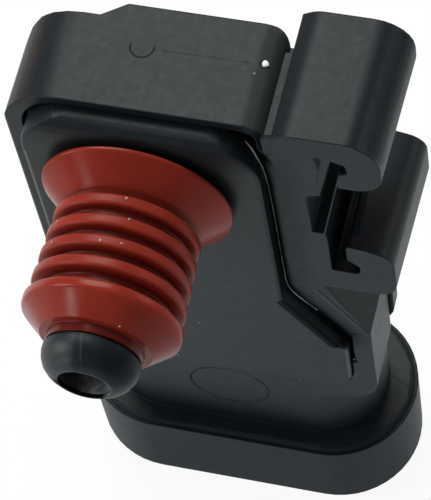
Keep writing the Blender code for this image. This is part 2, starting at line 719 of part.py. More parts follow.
def build_terminal(index, x):
    middle = SHROUD_CENTRE[1]
    half = BLADE_THICKNESS / 2.0
    tip = BLADE_TIP_THICKNESS / 2.0
    outline = [
        Vector((middle - half, BLADE_TOP)),
        Vector((middle + half, BLADE_TOP)),
        Vector((middle + half, BLADE_TIP + BLADE_TIP_LENGTH)),
        Vector((middle + tip, BLADE_TIP)),
        Vector((middle - tip, BLADE_TIP)),
        Vector((middle - half, BLADE_TIP + BLADE_TIP_LENGTH)),
    ]
    return prism(f"terminal_{index}", outline, "X", x - BLADE_WIDTH / 2.0, x + BLADE_WIDTH / 2.0)


def build_strap(index, x, substrate_face):
    """Bent strip that joins a blade to its pad on the substrate."""
    blade_face = SHROUD_CENTRE[1] - BLADE_THICKNESS / 2.0 - GAP
    pad_face = substrate_face - GAP
    top = blade_face - STRAP_RISE
    low_z = BLADE_TOP - 1.6
    high_z = CAVITY_SHELF + 3.2
    outline = [
        Vector((blade_face, low_z)),
        Vector((blade_face, low_z + 0.8)),
        Vector((top + STRAP_THICKNESS, low_z + 1.5)),
        Vector((top + STRAP_THICKNESS, high_z - 1.5)),
        Vector((pad_face, high_z - 0.8)),
        Vector((pad_face, high_z)),
        Vector((pad_face - STRAP_THICKNESS, high_z)),
        Vector((pad_face - STRAP_THICKNESS, high_z - 0.6)),
        Vector((top, high_z - 1.3)),
        Vector((top, low_z + 1.3)),
        Vector((blade_face - STRAP_THICKNESS, low_z + 0.6)),
        Vector((blade_face - STRAP_THICKNESS, low_z)),
    ]
    return prism(f"bond_strap_{index}", outline, "X", x - STRAP_WIDTH / 2.0, x + STRAP_WIDTH / 2.0)


def build_circuit():
    """Substrate on its adhesive, the sensing cell under the port, the signal chip and the small parts."""
    adhesive_back = CAVITY_FLOOR - GAP
    adhesive_front = adhesive_back - ADHESIVE_THICKNESS
    substrate_back = adhesive_front - GAP
    face = substrate_back - SUBSTRATE_THICKNESS
    middle = (CAVITY_LEFT + CAVITY_RIGHT) / 2.0
    centre = (CAVITY_TOP + CAVITY_SHELF) / 2.0
    half_width = (CAVITY_RIGHT - CAVITY_LEFT) / 2.0 - SUBSTRATE_MARGIN
    half_length = (CAVITY_TOP - CAVITY_SHELF) / 2.0 - SUBSTRATE_MARGIN
    seat = face - GAP
    items = {
        "substrate_adhesive": block(
            "substrate_adhesive", (middle, centre), (half_width - 1.0, half_length - 1.0), adhesive_front, adhesive_back
        ),
        "circuit_substrate": block(
            "circuit_substrate", (middle, centre), (half_width, half_length), face, substrate_back
        ),
        "die_pedestal": block("die_pedestal", (0.0, 0.0), (PEDESTAL_HALF, PEDESTAL_HALF), seat - PEDESTAL_HEIGHT, seat),
        "signal_chip": block(
            "signal_chip", (COLUMN_MIDDLE, ROW_LOW), (CHIP_HALF_WIDTH, CHIP_HALF_LENGTH), seat - CHIP_HEIGHT, seat
        ),
    }
    die_back = seat - PEDESTAL_HEIGHT - GAP
    items["pressure_die"] = block("pressure_die", (0.0, 0.0), (DIE_HALF, DIE_HALF), die_back - DIE_HEIGHT, die_back)
    ring = [(DAM_INNER, seat), (DAM_OUTER, seat), (DAM_OUTER, seat - DAM_HEIGHT), (DAM_INNER, seat - DAM_HEIGHT)]
    items["gel_dam"] = turned("gel_dam", ring, ROUND_STEPS // 2)
    places = [(COLUMN_LEFT, ROW_TOP), (COLUMN_LEFT, ROW_MIDDLE), (COLUMN_RIGHT, ROW_MIDDLE)]
    for i, spot in enumerate(places):
        name = f"capacitor_{i + 1}"
        items[name] = block(name, spot, CAPACITOR_HALF, seat - CAPACITOR_HEIGHT, seat)
    for i, spot in enumerate([(COLUMN_RIGHT, ROW_TOP), (COLUMN_LEFT, ROW_LOW)]):
        name = f"resistor_{i + 1}"
        items[name] = block(name, spot, RESISTOR_HALF, seat - RESISTOR_HEIGHT, seat)
    return items, face


def smooth(item):
    for polygon in item.data.polygons:
        polygon.use_smooth = True
    item.data.set_sharp_from_angle(angle=SHARP_ANGLE)


def settle(items):
    """Shift every piece so the origin is under the middle of the sensor, at the shroud's rim."""
    points = [v.co for item in items for v in item.data.vertices]
    low = Vector((min(p.x for p in points), min(p.y for p in points), min(p.z for p in points)))
    high = Vector((max(p.x for p in points), max(p.y for p in points), max(p.z for p in points)))
    shift = Matrix.Translation((-(low.x + high.x) / 2.0, -(low.y + high.y) / 2.0, -low.z))
    for item in items:
        item.data.transform(shift)


def main():
    clear_scene()
    black = make_material("moulded_black", (0.028, 0.031, 0.032), 0.5)
    silicone = make_material("silicone_red", (0.36, 0.055, 0.032), 0.55)
    glue = make_material("adhesive_dark", (0.02, 0.021, 0.022), 0.35)
    tin = make_material("tinned_copper", (0.62, 0.61, 0.58), 0.35, 1.0)
    ceramic = make_material("substrate_ceramic", (0.75, 0.74, 0.70), 0.6)
    silicon = make_material("silicon_grey", (0.22, 0.23, 0.26), 0.25, 0.4)
    tan = make_material("component_tan", (0.42, 0.30, 0.20), 0.5)
    gel = make_material("gel_ring_white", (0.8, 0.8, 0.78), 0.4)
    pieces = {
        "housing": (build_housing(), black),
        "port_cover": (build_cover(), black),
        "cover_adhesive": (build_cover_adhesive(), glue),
        "port_seal": (build_seal(), silicone),
    }
    circuit, substrate_face = build_circuit()
    looks = {
        "substrate_adhesive": glue,
        "circuit_substrate": ceramic,
        "die_pedestal": gel,
        "pressure_die": silicon,
        "signal_chip": black,
        "gel_dam": gel,
    }
    for name, item in circuit.items():
        pieces[name] = (item, looks.get(name, tan if name.startswith("capacitor") else black))
    for i, x in enumerate(blade_centres()):
        pieces[f"terminal_{i + 1}"] = (build_terminal(i + 1, x), tin)
        pieces[f"bond_strap_{i + 1}"] = (build_strap(i + 1, x, substrate_face), tin)
    for item, material in pieces.values():
        item.data.materials.clear()
        item.data.materials.append(material)
        smooth(item)
    settle([item for item, material in pieces.values()])


main()
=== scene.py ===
import math

import bmesh
import bpy
from mathutils import Matrix, Vector, noise


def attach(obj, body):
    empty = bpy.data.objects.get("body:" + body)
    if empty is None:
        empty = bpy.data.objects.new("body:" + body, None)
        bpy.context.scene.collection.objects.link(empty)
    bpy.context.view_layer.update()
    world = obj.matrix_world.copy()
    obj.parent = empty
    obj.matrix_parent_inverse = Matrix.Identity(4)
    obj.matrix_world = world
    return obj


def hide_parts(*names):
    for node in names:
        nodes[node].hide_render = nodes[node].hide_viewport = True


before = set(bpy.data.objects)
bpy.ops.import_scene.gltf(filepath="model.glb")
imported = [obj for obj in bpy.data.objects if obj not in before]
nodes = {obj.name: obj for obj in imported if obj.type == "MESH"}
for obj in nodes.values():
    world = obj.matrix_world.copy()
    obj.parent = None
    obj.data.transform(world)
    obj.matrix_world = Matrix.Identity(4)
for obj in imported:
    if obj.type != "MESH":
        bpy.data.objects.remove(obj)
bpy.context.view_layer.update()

# Sizes are in millimetres from the port axis (x = z = 0), as in the part's source; PORT is that axis in the row frame.
MM = 0.001
PORT = Vector((-4.635, 3.2, 59.2))

IMAGE_SIZE = (431, 500)
FOCAL_PX = 2748.3
CAMERA_AT = Vector((51.881, -108.133, 268.814))
CAMERA_AZIMUTH = 24.832
CAMERA_ELEVATION = 61.160
CAMERA_ROLL = -12.766

# Faces of the housing and the cover that carry marks or small pieces
END_WALL = 10.7
END_WALL_RIGHT = 11.9
FRAME_FACE = -1.3
COVER_FACE = -2.0
FLANGE_TOP = -48.0

# Seal, turned about the port axis: radius against depth
SEAL_BORE = 4.2
SEAL_BACK = -2.3
FLARE_RADIUS = 8.7
FLARE_RIM = 0.75
CONE_END = -5.4
CONE_RADIUS = 6.05
BARREL_RADIUS = 5.65
CREST_FIRST = -6.55
CREST_PITCH = 2.07
CREST_RADII = (6.65, 6.75, 6.85, 6.95)
CREST_WIDTH = 1.2
RING_RADIUS = 7.2
RING_TOP = -14.55
RING_LOW = -15.5
COLLAR_EDGE = 5.05
COLLAR_RADIUS = 4.4
COLLAR_TOP = -17.4
SEAL_END = -18.3
SEAL_STEPS = 144
FILLET_STEPS = 6

# Lean of the seal's normals about the port axis, from ring to flare: it isn't seated quite straight
SEAL_LEAN = (math.radians(-6.0), math.radians(9.0))
SEAL_LEAN_X = (4.0, 0.0)

# Pocket edge beside the cover, as (x, z, lip's y, width, outer y)
POCKET_LIP = (
    (9.7, 8.05, 0.35, 0.9, 0.0), (10.3, 7.75, 0.1, 1.2, -0.15), (10.7, 7.35, -0.2, 1.6, -0.65),
    (11.0, 6.85, -0.4, 1.9, -1.2), (11.3, 5.75, -0.45, 2.0, -1.29), (11.5, 4.2, -0.45, 1.7, -1.29),
    (11.58, 2.4, -0.45, 1.5, -1.29), (11.62, -0.7, -0.45, 1.4, -1.29), (11.65, -3.5, -0.45, 1.35, -1.29),
    (11.62, -10.1, -0.45, 1.35, -1.29), (11.62, -15.6, -0.45, 1.7, -1.29), (11.8, -16.6, -0.6, 2.5, -1.29),
    (12.3, -17.6, -0.75, 2.6, -1.29), (13.13, -18.85, -0.75, 2.5, -1.29), (14.3, -20.4, -0.75, 2.4, -1.29),
    (15.4, -22.0, -0.75, 2.2, -1.29), (16.7, -23.9, -0.8, 1.8, -1.29), (17.4, -25.2, -0.9, 1.0, -1.29),
    (17.62, -26.4, -1.0, 0.35, -1.29), (17.62, -29.6, -1.0, 0.3, -1.29),
)
LIP_STEP = 0.4
LIP_ROUNDS = 3
EDGE_STEPS = 10
EDGE_SUNK = 0.2

# Moulding flash on the first points of that edge, thicker towards the top
FLASH_POINTS = 15
FLASH_STEP = 0.25
FLASH_THIN = 0.085
FLASH_THICK = 0.17
FLASH_UNEVEN = 0.05
FLASH_SHIFT = 0.04
FLASH_PROUD = 0.06
FLASH_RISE = 0.07
FLASH_THICK_Z = (1.5, 5.0)

# Filled lower end of the gap beside the cover: (x, z) points
LOW_GAP = ((17.42, -29.3), (17.42, -32.4), (16.9, -33.6))
LOW_GAP_Y = -1.12
LOW_GAP_RADIUS = 0.36
LOW_GAP_STEP = 0.3

# Web in the valley between the end wall and the hook block
VALLEY_LEFT = 11.45
VALLEY_RIGHT = 12.95
VALLEY_TOP = 9.35
VALLEY_LOW = 8.35
VALLEY_FRONT = -0.9
VALLEY_BACK = 8.7

# Small things that lie on the faces
SPECK = (10.42, 6.5, 10.5)
GRAIN = (9.78, 5.33, 10.66)
SEAL_DUST = (
    ((0.85, -6.39, 6.62), 0.13), ((1.6, -8.31, 6.60), 0.10), ((-0.26, -10.87, 6.86), 0.14),
    ((-4.89, -10.79, 4.85), 0.11), ((1.54, -10.74, 6.70), 0.10), ((-5.12, -8.51, 4.42), 0.08),
    ((2.75, -17.3, 4.35), 0.09), ((1.75, -10.7, 6.62), 0.05),
)
FACE_DUST = (
    ((17.42, -1.4, -28.8), 0.11), ((2.57, -2.0, -25.11), 0.10), ((6.51, -2.0, -20.72), 0.05),
    ((-0.57, -2.0, -33.4), 0.12), ((11.4, -1.3, -35.9), 0.10),
)
FACE_DUST_HEIGHT = 0.04
SPECK_RADII = (0.36, 0.36, 0.13)
GRAIN_RADII = (0.10, 0.12, 0.05)
BLOB_UNEVEN = 0.35
BLOB_GRAIN = 1.7


def row(x, y, z):
    """A point given in millimetres from the port axis, as row coordinates in metres."""
    return (Vector((x, y, z)) + PORT) * MM


# Rounding of sharp edges in the materials: its samples, and how far normals may agree before it is left out
BEVEL_SAMPLES = 6
ROUNDED_DOT = (0.972, 0.992)


class Shader:
    """Short forms for building a node material; x, y, z are millimetres from the port axis."""

    def __init__(self, name):
        self.material = bpy.data.materials.new(name)
        self.material.use_nodes = True
        self.tree = self.material.node_tree
        self.tree.nodes.clear()
        self.out = self.node("ShaderNodeOutputMaterial")
        self.bsdf = self.node("ShaderNodeBsdfPrincipled")
        self.link(self.bsdf.outputs[0], self.out.inputs["Surface"])
        shift = self.node("ShaderNodeVectorMath", operation="SUBTRACT")
        self.link(self.node("ShaderNodeTexCoord").outputs["Object"], shift.inputs[0])
        shift.inputs[1].default_value = PORT * MM
        scale = self.node("ShaderNodeVectorMath", operation="SCALE")
        self.link(shift.outputs[0], scale.inputs[0])
        scale.inputs["Scale"].default_value = 1.0 / MM
        self.place = scale.outputs[0]
        split = self.node("ShaderNodeSeparateXYZ")
        self.link(self.place, split.inputs[0])
        self.x, self.y, self.z = split.outputs

    def node(self, kind, **settings):
        made = self.tree.nodes.new(kind)
        for key, value in settings.items():
            setattr(made, key, value)
        return made

    def link(self, a, b):
        self.tree.links.new(a, b)

    def feed(self, socket, value):
        if isinstance(value, bpy.types.NodeSocket):
            self.link(value, socket)
        else:
            socket.default_value = value

    def math(self, operation, a, b=0.0, c=0.0, clamp=False):
        made = self.node("ShaderNodeMath", operation=operation, use_clamp=clamp)
        self.feed(made.inputs[0], a)
        self.feed(made.inputs[1], b)
        self.feed(made.inputs[2], c)
        return made.outputs[0]

    def above(self, value, limit):
        return self.math("GREATER_THAN", value, limit)

    def below(self, value, limit):
        return self.math("LESS_THAN", value, limit)

    def times(self, *values):
        """Product of several masks."""
        result = values[0]
        for value in values[1:]:
            result = self.math("MULTIPLY", result, value)
        return result

    def either(self, *values):
        """Largest of several masks."""
        result = values[0]
        for value in values[1:]:
            result = self.math("MAXIMUM", result, value)
        return result

    def noise(self, scale, detail=3.0, roughness=0.5, stretch=None):
        made = self.node("ShaderNodeTexNoise")
        made.inputs["Scale"].default_value = scale
        made.inputs["Detail"].default_value = detail
        made.inputs["Roughness"].default_value = roughness
        source = self.place
        if stretch:
            mapping = self.node("ShaderNodeMapping")
            mapping.inputs["Scale"].default_value = stretch
            self.link(source, mapping.inputs["Vector"])
            source = mapping.outputs[0]
        self.link(source, made.inputs["Vector"])
        return made.outputs["Fac"]

    def ramp(self, value, low, high, a=0.0, b=1.0, smooth=True):
        made = self.node("ShaderNodeMapRange")
        if smooth:
            made.interpolation_type = "SMOOTHSTEP"
        self.feed(made.inputs["Value"], value)
        self.feed(made.inputs["From Min"], low)
        self.feed(made.inputs["From Max"], high)
        self.feed(made.inputs["To Min"], a)
        self.feed(made.inputs["To Max"], b)
        return made.outputs[0]

    def mix(self, factor, a, b):
        made = self.node("ShaderNodeMix", data_type="RGBA")
        self.feed(made.inputs[0], factor)
        self.feed(made.inputs[6], a)
        self.feed(made.inputs[7], b)
        return made.outputs[2]

    def within(self, value, low, high, soft=0.1):
        """1 between low and high, falling to 0 over soft outside them."""
        return self.times(self.ramp(value, low - soft, low), self.ramp(value, high, high + soft, 1.0, 0.0))

    def scaled(self, mask, at_full):
        """Factor that goes from 1 where a mask is 0 to at_full where it is 1."""
        return self.ramp(mask, 0.0, 1.0, 1.0, at_full)

    def from_axis(self):
        """Distance from the port axis, in millimetres."""
        return self.math("SQRT", self.math("ADD", self.times(self.x, self.x), self.times(self.z, self.z)))

    def stroke(self, u, v, start, end, half, soft):
        """1 along a straight mark between two points of a flat face."""
        du = end[0] - start[0]
        dv = end[1] - start[1]
        square = du * du + dv * dv
        pu = self.math("SUBTRACT", u, start[0])
        pv = self.math("SUBTRACT", v, start[1])
        share = self.math("ADD", self.times(pu, du / square), self.times(pv, dv / square), clamp=True)
        au = self.math("SUBTRACT", pu, self.times(share, du))
        av = self.math("SUBTRACT", pv, self.times(share, dv))
        away = self.math("SQRT", self.math("ADD", self.times(au, au), self.times(av, av)))
        return self.ramp(away, half, half + soft, 1.0, 0.0)

    def oval(self, u, v, centre, radii):
        """Distance from an oval line, in millimetres, negative inside."""
        au = self.math("DIVIDE", self.math("SUBTRACT", u, centre[0]), radii[0])
        av = self.math("DIVIDE", self.math("SUBTRACT", v, centre[1]), radii[1])
        away = self.math("SQRT", self.math("ADD", self.times(au, au), self.times(av, av)))
        return self.times(self.math("SUBTRACT", away, 1.0), (radii[0] + radii[1]) / 2.0)

    def ring(self, u, v, centre, radii, half, soft):
        """1 along an oval mark."""
        return self.ramp(self.math("ABSOLUTE", self.oval(u, v, centre, radii)), half, half + soft, 1.0, 0.0)

    def bump(self, height, strength, distance, normal=None):
        made = self.node("ShaderNodeBump")
        made.inputs["Strength"].default_value = strength
        made.inputs["Distance"].default_value = distance * MM
        self.link(height, made.inputs["Height"])
        if normal:
            self.link(normal, made.inputs["Normal"])
        return made.outputs[0]

    def edge_normal(self, radius):
        """Normal that rounds the sharp edges only: round faces keep their own."""
        bevel = self.node("ShaderNodeBevel", samples=BEVEL_SAMPLES)
        bevel.inputs["Radius"].default_value = radius * MM
        own = self.node("ShaderNodeNewGeometry").outputs["Normal"]
        dot = self.node("ShaderNodeVectorMath", operation="DOT_PRODUCT")
        self.link(bevel.outputs[0], dot.inputs[0])
        self.link(own, dot.inputs[1])
        share = self.ramp(dot.outputs["Value"], *ROUNDED_DOT, 1.0, 0.0)
        made = self.node("ShaderNodeMix", data_type="VECTOR")
        self.link(share, made.inputs[0])
        self.link(own, made.inputs[4])
        self.link(bevel.outputs[0], made.inputs[5])
        return made.outputs[1]


# Colours; the sheen of the black plastic is given as Specular IOR Level
BLACK = (0.0072, 0.0098, 0.0125, 1.0)
BLACK_WORN = (0.016, 0.019, 0.020, 1.0)
BLACK_DEEP = (0.0058, 0.0082, 0.0108, 1.0)
BLACK_GLOSS = 0.19
BLACK_ROUGH = 0.44
BLACK_EDGE = 0.22
# Dark colour of moulding marks, also used for painted shade
MARK_AND_SHADE_DARK = (0.0015, 0.0017, 0.0018, 1.0)
ROUND_PAINTED_LIGHT = (0.034, 0.037, 0.039, 1.0)
CORNER_PAINTED_REFLECTION = (0.016, 0.0095, 0.0085, 1.0)
SLOT_PALE = (0.10, 0.13, 0.12, 1.0)
EDGE_PALE = (0.07, 0.075, 0.075, 1.0)
WALL_PAINTED_LIGHT = (0.022, 0.027, 0.030, 1.0)
BORE_PAINTED_LIGHT = (0.20, 0.21, 0.22, 1.0)
RED_LOW = (0.215, 0.0185, 0.0095, 1.0)
RED_HIGH = (0.250, 0.024, 0.0125, 1.0)
RED_BLOOM = (0.27, 0.030, 0.017, 1.0)
RED_PAINTED_SHADE = (0.085, 0.0065, 0.0036, 1.0)
SEAL_ROUGH = (0.19, 0.26)
CREST_ROUGHER = 0.13
SEAL_GLOSS = 0.125


def moulded_black(name, marks=None):
    """Glass-filled black plastic: fine grain, faint flow streaks, slightly greyer where rubbed."""
    s = Shader(name)
    streaks = s.noise(0.9, 4.0, 0.6, stretch=(1.0, 0.16, 0.5))
    cloud = s.noise(0.25, 3.0, 0.55)
    colour = s.mix(s.ramp(cloud, 0.3, 0.7), BLACK_DEEP, BLACK)
    colour = s.mix(s.times(s.ramp(streaks, 0.55, 0.75), 0.3), colour, BLACK_WORN)
    rough = s.ramp(s.noise(1.1, 3.0, 0.6), 0.3, 0.7, BLACK_ROUGH - 0.02, BLACK_ROUGH + 0.02)
    sheen = s.ramp(s.noise(2.4, 4.0, 0.65), 0.25, 0.75, BLACK_GLOSS * 0.9, BLACK_GLOSS * 1.1)
    normal = s.bump(s.noise(6.0, 2.0, 0.5), 0.12, 0.02, s.edge_normal(BLACK_EDGE))
    if marks:
        colour, sheen, normal = marks(s, colour, sheen, normal)
    s.feed(s.bsdf.inputs["Base Color"], colour)
    s.feed(s.bsdf.inputs["Roughness"], rough)
    s.bsdf.inputs["IOR"].default_value = 1.5
    s.feed(s.bsdf.inputs["Specular IOR Level"], sheen)
    s.link(normal, s.bsdf.inputs["Normal"])
    return s.material


# Marks on the end wall: (x, y) on its face
EJECTOR_CENTRE = (-0.43, 6.3)
EJECTOR_RADII = (1.08, 1.08)
EJECTOR_OPEN_Y = (6.3, 6.7)
PARTING_LINE = ((1.3, 6.2), (9.2, 6.29))
# Ring of painted shade round the speck
SPECK_SHADE_RADII = (0.42, 0.42)

# Marks on the front frame and the neck: (x, z) on their face
NECK_RING_CENTRE = (3.85, -40.1)
NECK_RING_RADII = (4.05, 3.7)
NICK_TOP = 9.5
NICK_LOW = 7.2
NICK_X = 16.62
NICK_SLOPE = 0.17
SCRATCH = ((16.54, 7.2), (16.23, 4.4))
# Painted shade as a dark line along the edge of the diagonal wall, and a painted highlight line beside it
TRIANGLE_EDGE = ((14.87, -15.3), (19.32, -23.0))
TRIANGLE_LIGHT = ((14.6, -15.45), (19.05, -23.15))
TRIANGLE_LIGHT_LINE = (0.03, 0.10)
TRIANGLE_GLINT = 0.7
SLOT_CORNER = (16.4, -3.95)
SLOT_CORNER_RADII = (0.02, 0.02)
SLOT_CORNER_LINE = (0.06, 0.14)

# Crease on the shroud's flange: (x, y) on its top
CREASE = ((18.6, 6.4), (19.55, 5.85), (20.5, 5.45))

# Half width and fade of each mark's line, how far it goes to the dark colour of marks and painted shade, and how much
# sheen all of them take
LINES = {
    "speck_shade": (0.04, 0.08), "ejector": (0.05, 0.09), "parting": (0.02, 0.10), "neck_ring": (0.05, 0.14),
    "wall_edge_shade": (0.04, 0.12), "crease": (0.02, 0.10), "nick": (-0.08, 0.14), "scratch": (0.02, 0.07),
}
DEPTHS = {
    "speck_shade": 0.8, "ejector": 0.8, "parting": 0.45, "neck_ring": 0.95,
    "wall_edge_shade": 0.8, "crease": 0.7, "nick": 0.9, "scratch": 0.5,
}
MARK_DULL = 0.8

# Duller front beside the pocket: (x, z) lines, each with its half width, fade and strength
LIP_DIAGONAL = ((11.9, -16.7), (16.8, -24.1))
LIP_DIAGONAL_FADE = (0.3, 2.9)
LIP_DIAGONAL_DULL = 0.88
LIP_SIDE = ((12.0, 6.5), (12.0, -15.5))
LIP_SIDE_FADE = (0.5, 3.4)
LIP_SIDE_DULL = 0.42

# Pocket's edge, painted darker and duller from the frame's face inwards: painted shade
POCKET_SHADE_DEPTH = 0.4
POCKET_SHADE_SHEEN = 0.15

# Faces whose sheen differs, with the factor it takes there
SLOT_X = (16.9, 18.9)
SLOT_Z = (-12.0, -1.5)
SLOT_SHEEN = 0.25
DIAGONAL_X = 14.8
DIAGONAL_Y = (FRAME_FACE + 0.06, 5.0)
DIAGONAL_Z = (-22.7, -14.4)
DIAGONAL_SHEEN = 0.65
RIGHT_X = 19.3
RIGHT_TOP = -22.5
RIGHT_Y = (-0.9, 5.4)
RIGHT_SHEEN = 0.84
RIB_Y = (5.6, 5.8)
RIB_Z = (-34.0, -24.0)
RIB_SHEEN = 1.5
HOOK_ROUND_X = (19.8, 22.0)
HOOK_ROUND_Y = (-1.2, -0.9)
HOOK_ROUND_LOW = 4.9
HOOK_ROUND_SHEEN = 0.55
FLANGE_SHEEN = 0.5

# End wall's roundings: painted light makes the right one greyer, and a painted reflection makes the left one browner
ROUND_LIGHT_X = (9.5, 10.6)
ROUND_LIGHT_Z = (8.2, 9.0)
ROUND_LIGHT_Y = (-0.2, 0.4)
REFLECTION_X = (-9.0, -10.0)
REFLECTION_Z = (8.0, 9.2)
REFLECTION_SHARE = 0.8
REFLECTION_SHEEN = 0.7


def lip_shade(s):
    """Factor for the sheen of the front beside the pocket."""
    slant = s.times(s.stroke(s.x, s.z, *LIP_DIAGONAL, *LIP_DIAGONAL_FADE), LIP_DIAGONAL_DULL)
    side = s.times(s.stroke(s.x, s.z, *LIP_SIDE, *LIP_SIDE_FADE), LIP_SIDE_DULL)
    return s.math("SUBTRACT", 1.0, s.either(slant, side))


def corner_sheen(s):
    """Factor for the sheen in the slot, on the diagonal wall, on the strips right of it and on the upper hook."""
    slot = s.times(s.within(s.x, *SLOT_X), s.within(s.z, *SLOT_Z, 0.2), s.above(s.y, 0.0))
    diagonal = s.times(s.above(s.x, DIAGONAL_X), s.within(s.y, *DIAGONAL_Y, 0.04), s.within(s.z, *DIAGONAL_Z, 0.05))
    right = s.times(s.above(s.x, RIGHT_X), s.within(s.y, *RIGHT_Y), s.below(s.z, RIGHT_TOP))
    rib = s.times(s.above(s.x, RIGHT_X), s.within(s.y, *RIB_Y), s.within(s.z, *RIB_Z))
    hook = s.times(s.ramp(s.x, *HOOK_ROUND_X), s.ramp(s.y, *HOOK_ROUND_Y), s.above(s.z, HOOK_ROUND_LOW))
    return s.times(
        s.scaled(slot, SLOT_SHEEN), s.scaled(diagonal, DIAGONAL_SHEEN), s.scaled(right, RIGHT_SHEEN),
        s.scaled(rib, RIB_SHEEN), s.scaled(hook, HOOK_ROUND_SHEEN),
    )


def end_wall_marks(s):
    """Ejector arc, parting line, and a dark ring of painted shade round the speck."""
    face = s.times(s.above(s.z, END_WALL - 0.08), s.below(s.x, END_WALL_RIGHT))
    circle = s.ring(s.x, s.y, EJECTOR_CENTRE, EJECTOR_RADII, *LINES["ejector"])
    # Painted shade: a dark ring round the speck
    speck_shade_ring = s.ring(s.x, s.y, SPECK[:2], SPECK_SHADE_RADII, *LINES["speck_shade"])
    uneven = s.ramp(s.noise(0.7), 0.35, 0.6, 0.25, 1.0)
    return {
        "ejector": s.times(circle, s.ramp(s.y, *EJECTOR_OPEN_Y, 1.0, 0.0), face),
        "parting": s.times(s.stroke(s.x, s.y, *PARTING_LINE, *LINES["parting"]), uneven, face),
        "speck_shade": s.times(speck_shade_ring, s.above(s.z, END_WALL - 0.5)),
    }


def front_marks(s, front):
    """Ring on the neck, nick and scratch over the slot, and painted shade as a dark line along the edge of the diagonal
    wall.
    """
    ring = s.ring(s.x, s.z, NECK_RING_CENTRE, NECK_RING_RADII, *LINES["neck_ring"])
    broken = s.ramp(s.noise(0.35, 2.0), 0.38, 0.62, 0.6, 1.0)
    nick_half = s.times(s.math("SUBTRACT", s.z, NICK_LOW), NICK_SLOPE)
    nick_side = s.math("ABSOLUTE", s.math("SUBTRACT", s.x, NICK_X))
    half, soft = LINES["nick"]
    nick = s.ramp(s.math("SUBTRACT", nick_side, nick_half), half, half + soft, 1.0, 0.0)
    return {
        "neck_ring": s.times(ring, front, broken),
        "nick": s.times(nick, s.within(s.z, NICK_LOW, NICK_TOP, 0.08), front),
        "scratch": s.times(s.stroke(s.x, s.z, *SCRATCH, *LINES["scratch"]), front),
        # Painted shade along the diagonal wall's edge
        "wall_edge_shade": s.times(s.stroke(s.x, s.z, *TRIANGLE_EDGE, *LINES["wall_edge_shade"]), front),
    }


def flange_crease(s):
    """Bent crease on top of the shroud's flange."""
    bent = [s.stroke(s.x, s.y, *CREASE[i:i + 2], *LINES["crease"]) for i in range(2)]
    return s.times(s.either(*bent), s.within(s.z, FLANGE_TOP - 0.05, FLANGE_TOP + 0.05, 0.02))


def housing_marks(s, colour, sheen, normal):
    """Dark moulding marks and painted shade lines, roundings tinted by painted light and a painted reflection, and
    faces that shine more or less than the rest.
    """
    front = s.below(s.y, FRAME_FACE + 0.08)
    masks = {**end_wall_marks(s), **front_marks(s, front), "crease": flange_crease(s)}
    dark = s.either(*(s.times(masks[name], depth) for name, depth in DEPTHS.items()))
    corner = s.ring(s.x, s.z, SLOT_CORNER, SLOT_CORNER_RADII, *SLOT_CORNER_LINE)
    # Painted light on the end wall's right round, and a painted brown reflection on its left round
    painted_light_round = s.times(s.ramp(s.x, *ROUND_LIGHT_X), s.below(s.x, END_WALL_RIGHT + 0.1), s.ramp(s.z, *ROUND_LIGHT_Z), s.ramp(s.y, *ROUND_LIGHT_Y))
    painted_reflection = s.times(s.ramp(s.x, *REFLECTION_X), s.ramp(s.z, *REFLECTION_Z))
    colour = s.mix(corner, colour, SLOT_PALE)
    colour = s.mix(dark, colour, MARK_AND_SHADE_DARK)
    colour = s.mix(painted_light_round, colour, ROUND_PAINTED_LIGHT)
    colour = s.mix(s.times(painted_reflection, REFLECTION_SHARE), colour, CORNER_PAINTED_REFLECTION)
    beside = s.either(lip_shade(s), s.above(s.y, FRAME_FACE + 0.1))
    glint = s.times(s.stroke(s.x, s.z, *TRIANGLE_LIGHT, *TRIANGLE_LIGHT_LINE), front, TRIANGLE_GLINT)
    flange = s.ramp(s.z, FLANGE_TOP - 0.6, FLANGE_TOP, FLANGE_SHEEN, 1.0)
    plain = s.math("SUBTRACT", 1.0, s.times(dark, MARK_DULL))
    edges = s.times(beside, s.math("ADD", 1.0, glint), s.scaled(painted_reflection, REFLECTION_SHEEN), corner_sheen(s))
    return colour, s.times(sheen, edges, flange, plain), normal


def pocket_marks(s, colour, sheen, normal):
    """The pocket's edge gets darker and duller towards its lip: painted shade."""
    pocket_shade = s.ramp(s.y, FRAME_FACE, FRAME_FACE + POCKET_SHADE_DEPTH)
    return s.mix(pocket_shade, colour, MARK_AND_SHADE_DARK), s.times(sheen, s.scaled(pocket_shade, POCKET_SHADE_SHEEN), lip_shade(s)), normal


# Painted highlights along the cover's edges: (x, z) lines, each with its half width, fade and strength
COVER_EDGE_HIGHLIGHTS = (
    (((17.0, -25.9), (17.0, -32.0)), 0.08, 0.18, 1.0),
    (((-9.98, 4.0), (-9.98, -17.0)), 0.06, 0.14, 1.0),
    (((-4.0, -34.1), (15.2, -34.1)), 0.04, 0.12, 0.85),
)

# Cover's diagonal edge, with painted shade on the face, and the wall under it, painted lighter
COVER_SLANT = ((11.35, -17.9), (15.75, -25.3))
COVER_SLANT_LINE = (0.42, 0.08)
COVER_SLANT_SHADE = 0.6
COVER_SLANT_SHEEN = 0.12
COVER_WALL = ((11.4, -17.3), (16.2, -25.4))
COVER_WALL_LINE = (0.14, 0.1)
COVER_WALL_Y = (COVER_FACE + 0.3, COVER_FACE + 1.0)

# Cover's face dips towards its top, less so on the left
COVER_SAG_START = 5.5
COVER_SAG = 0.04
COVER_SAG_X = (-9.0, -1.0)

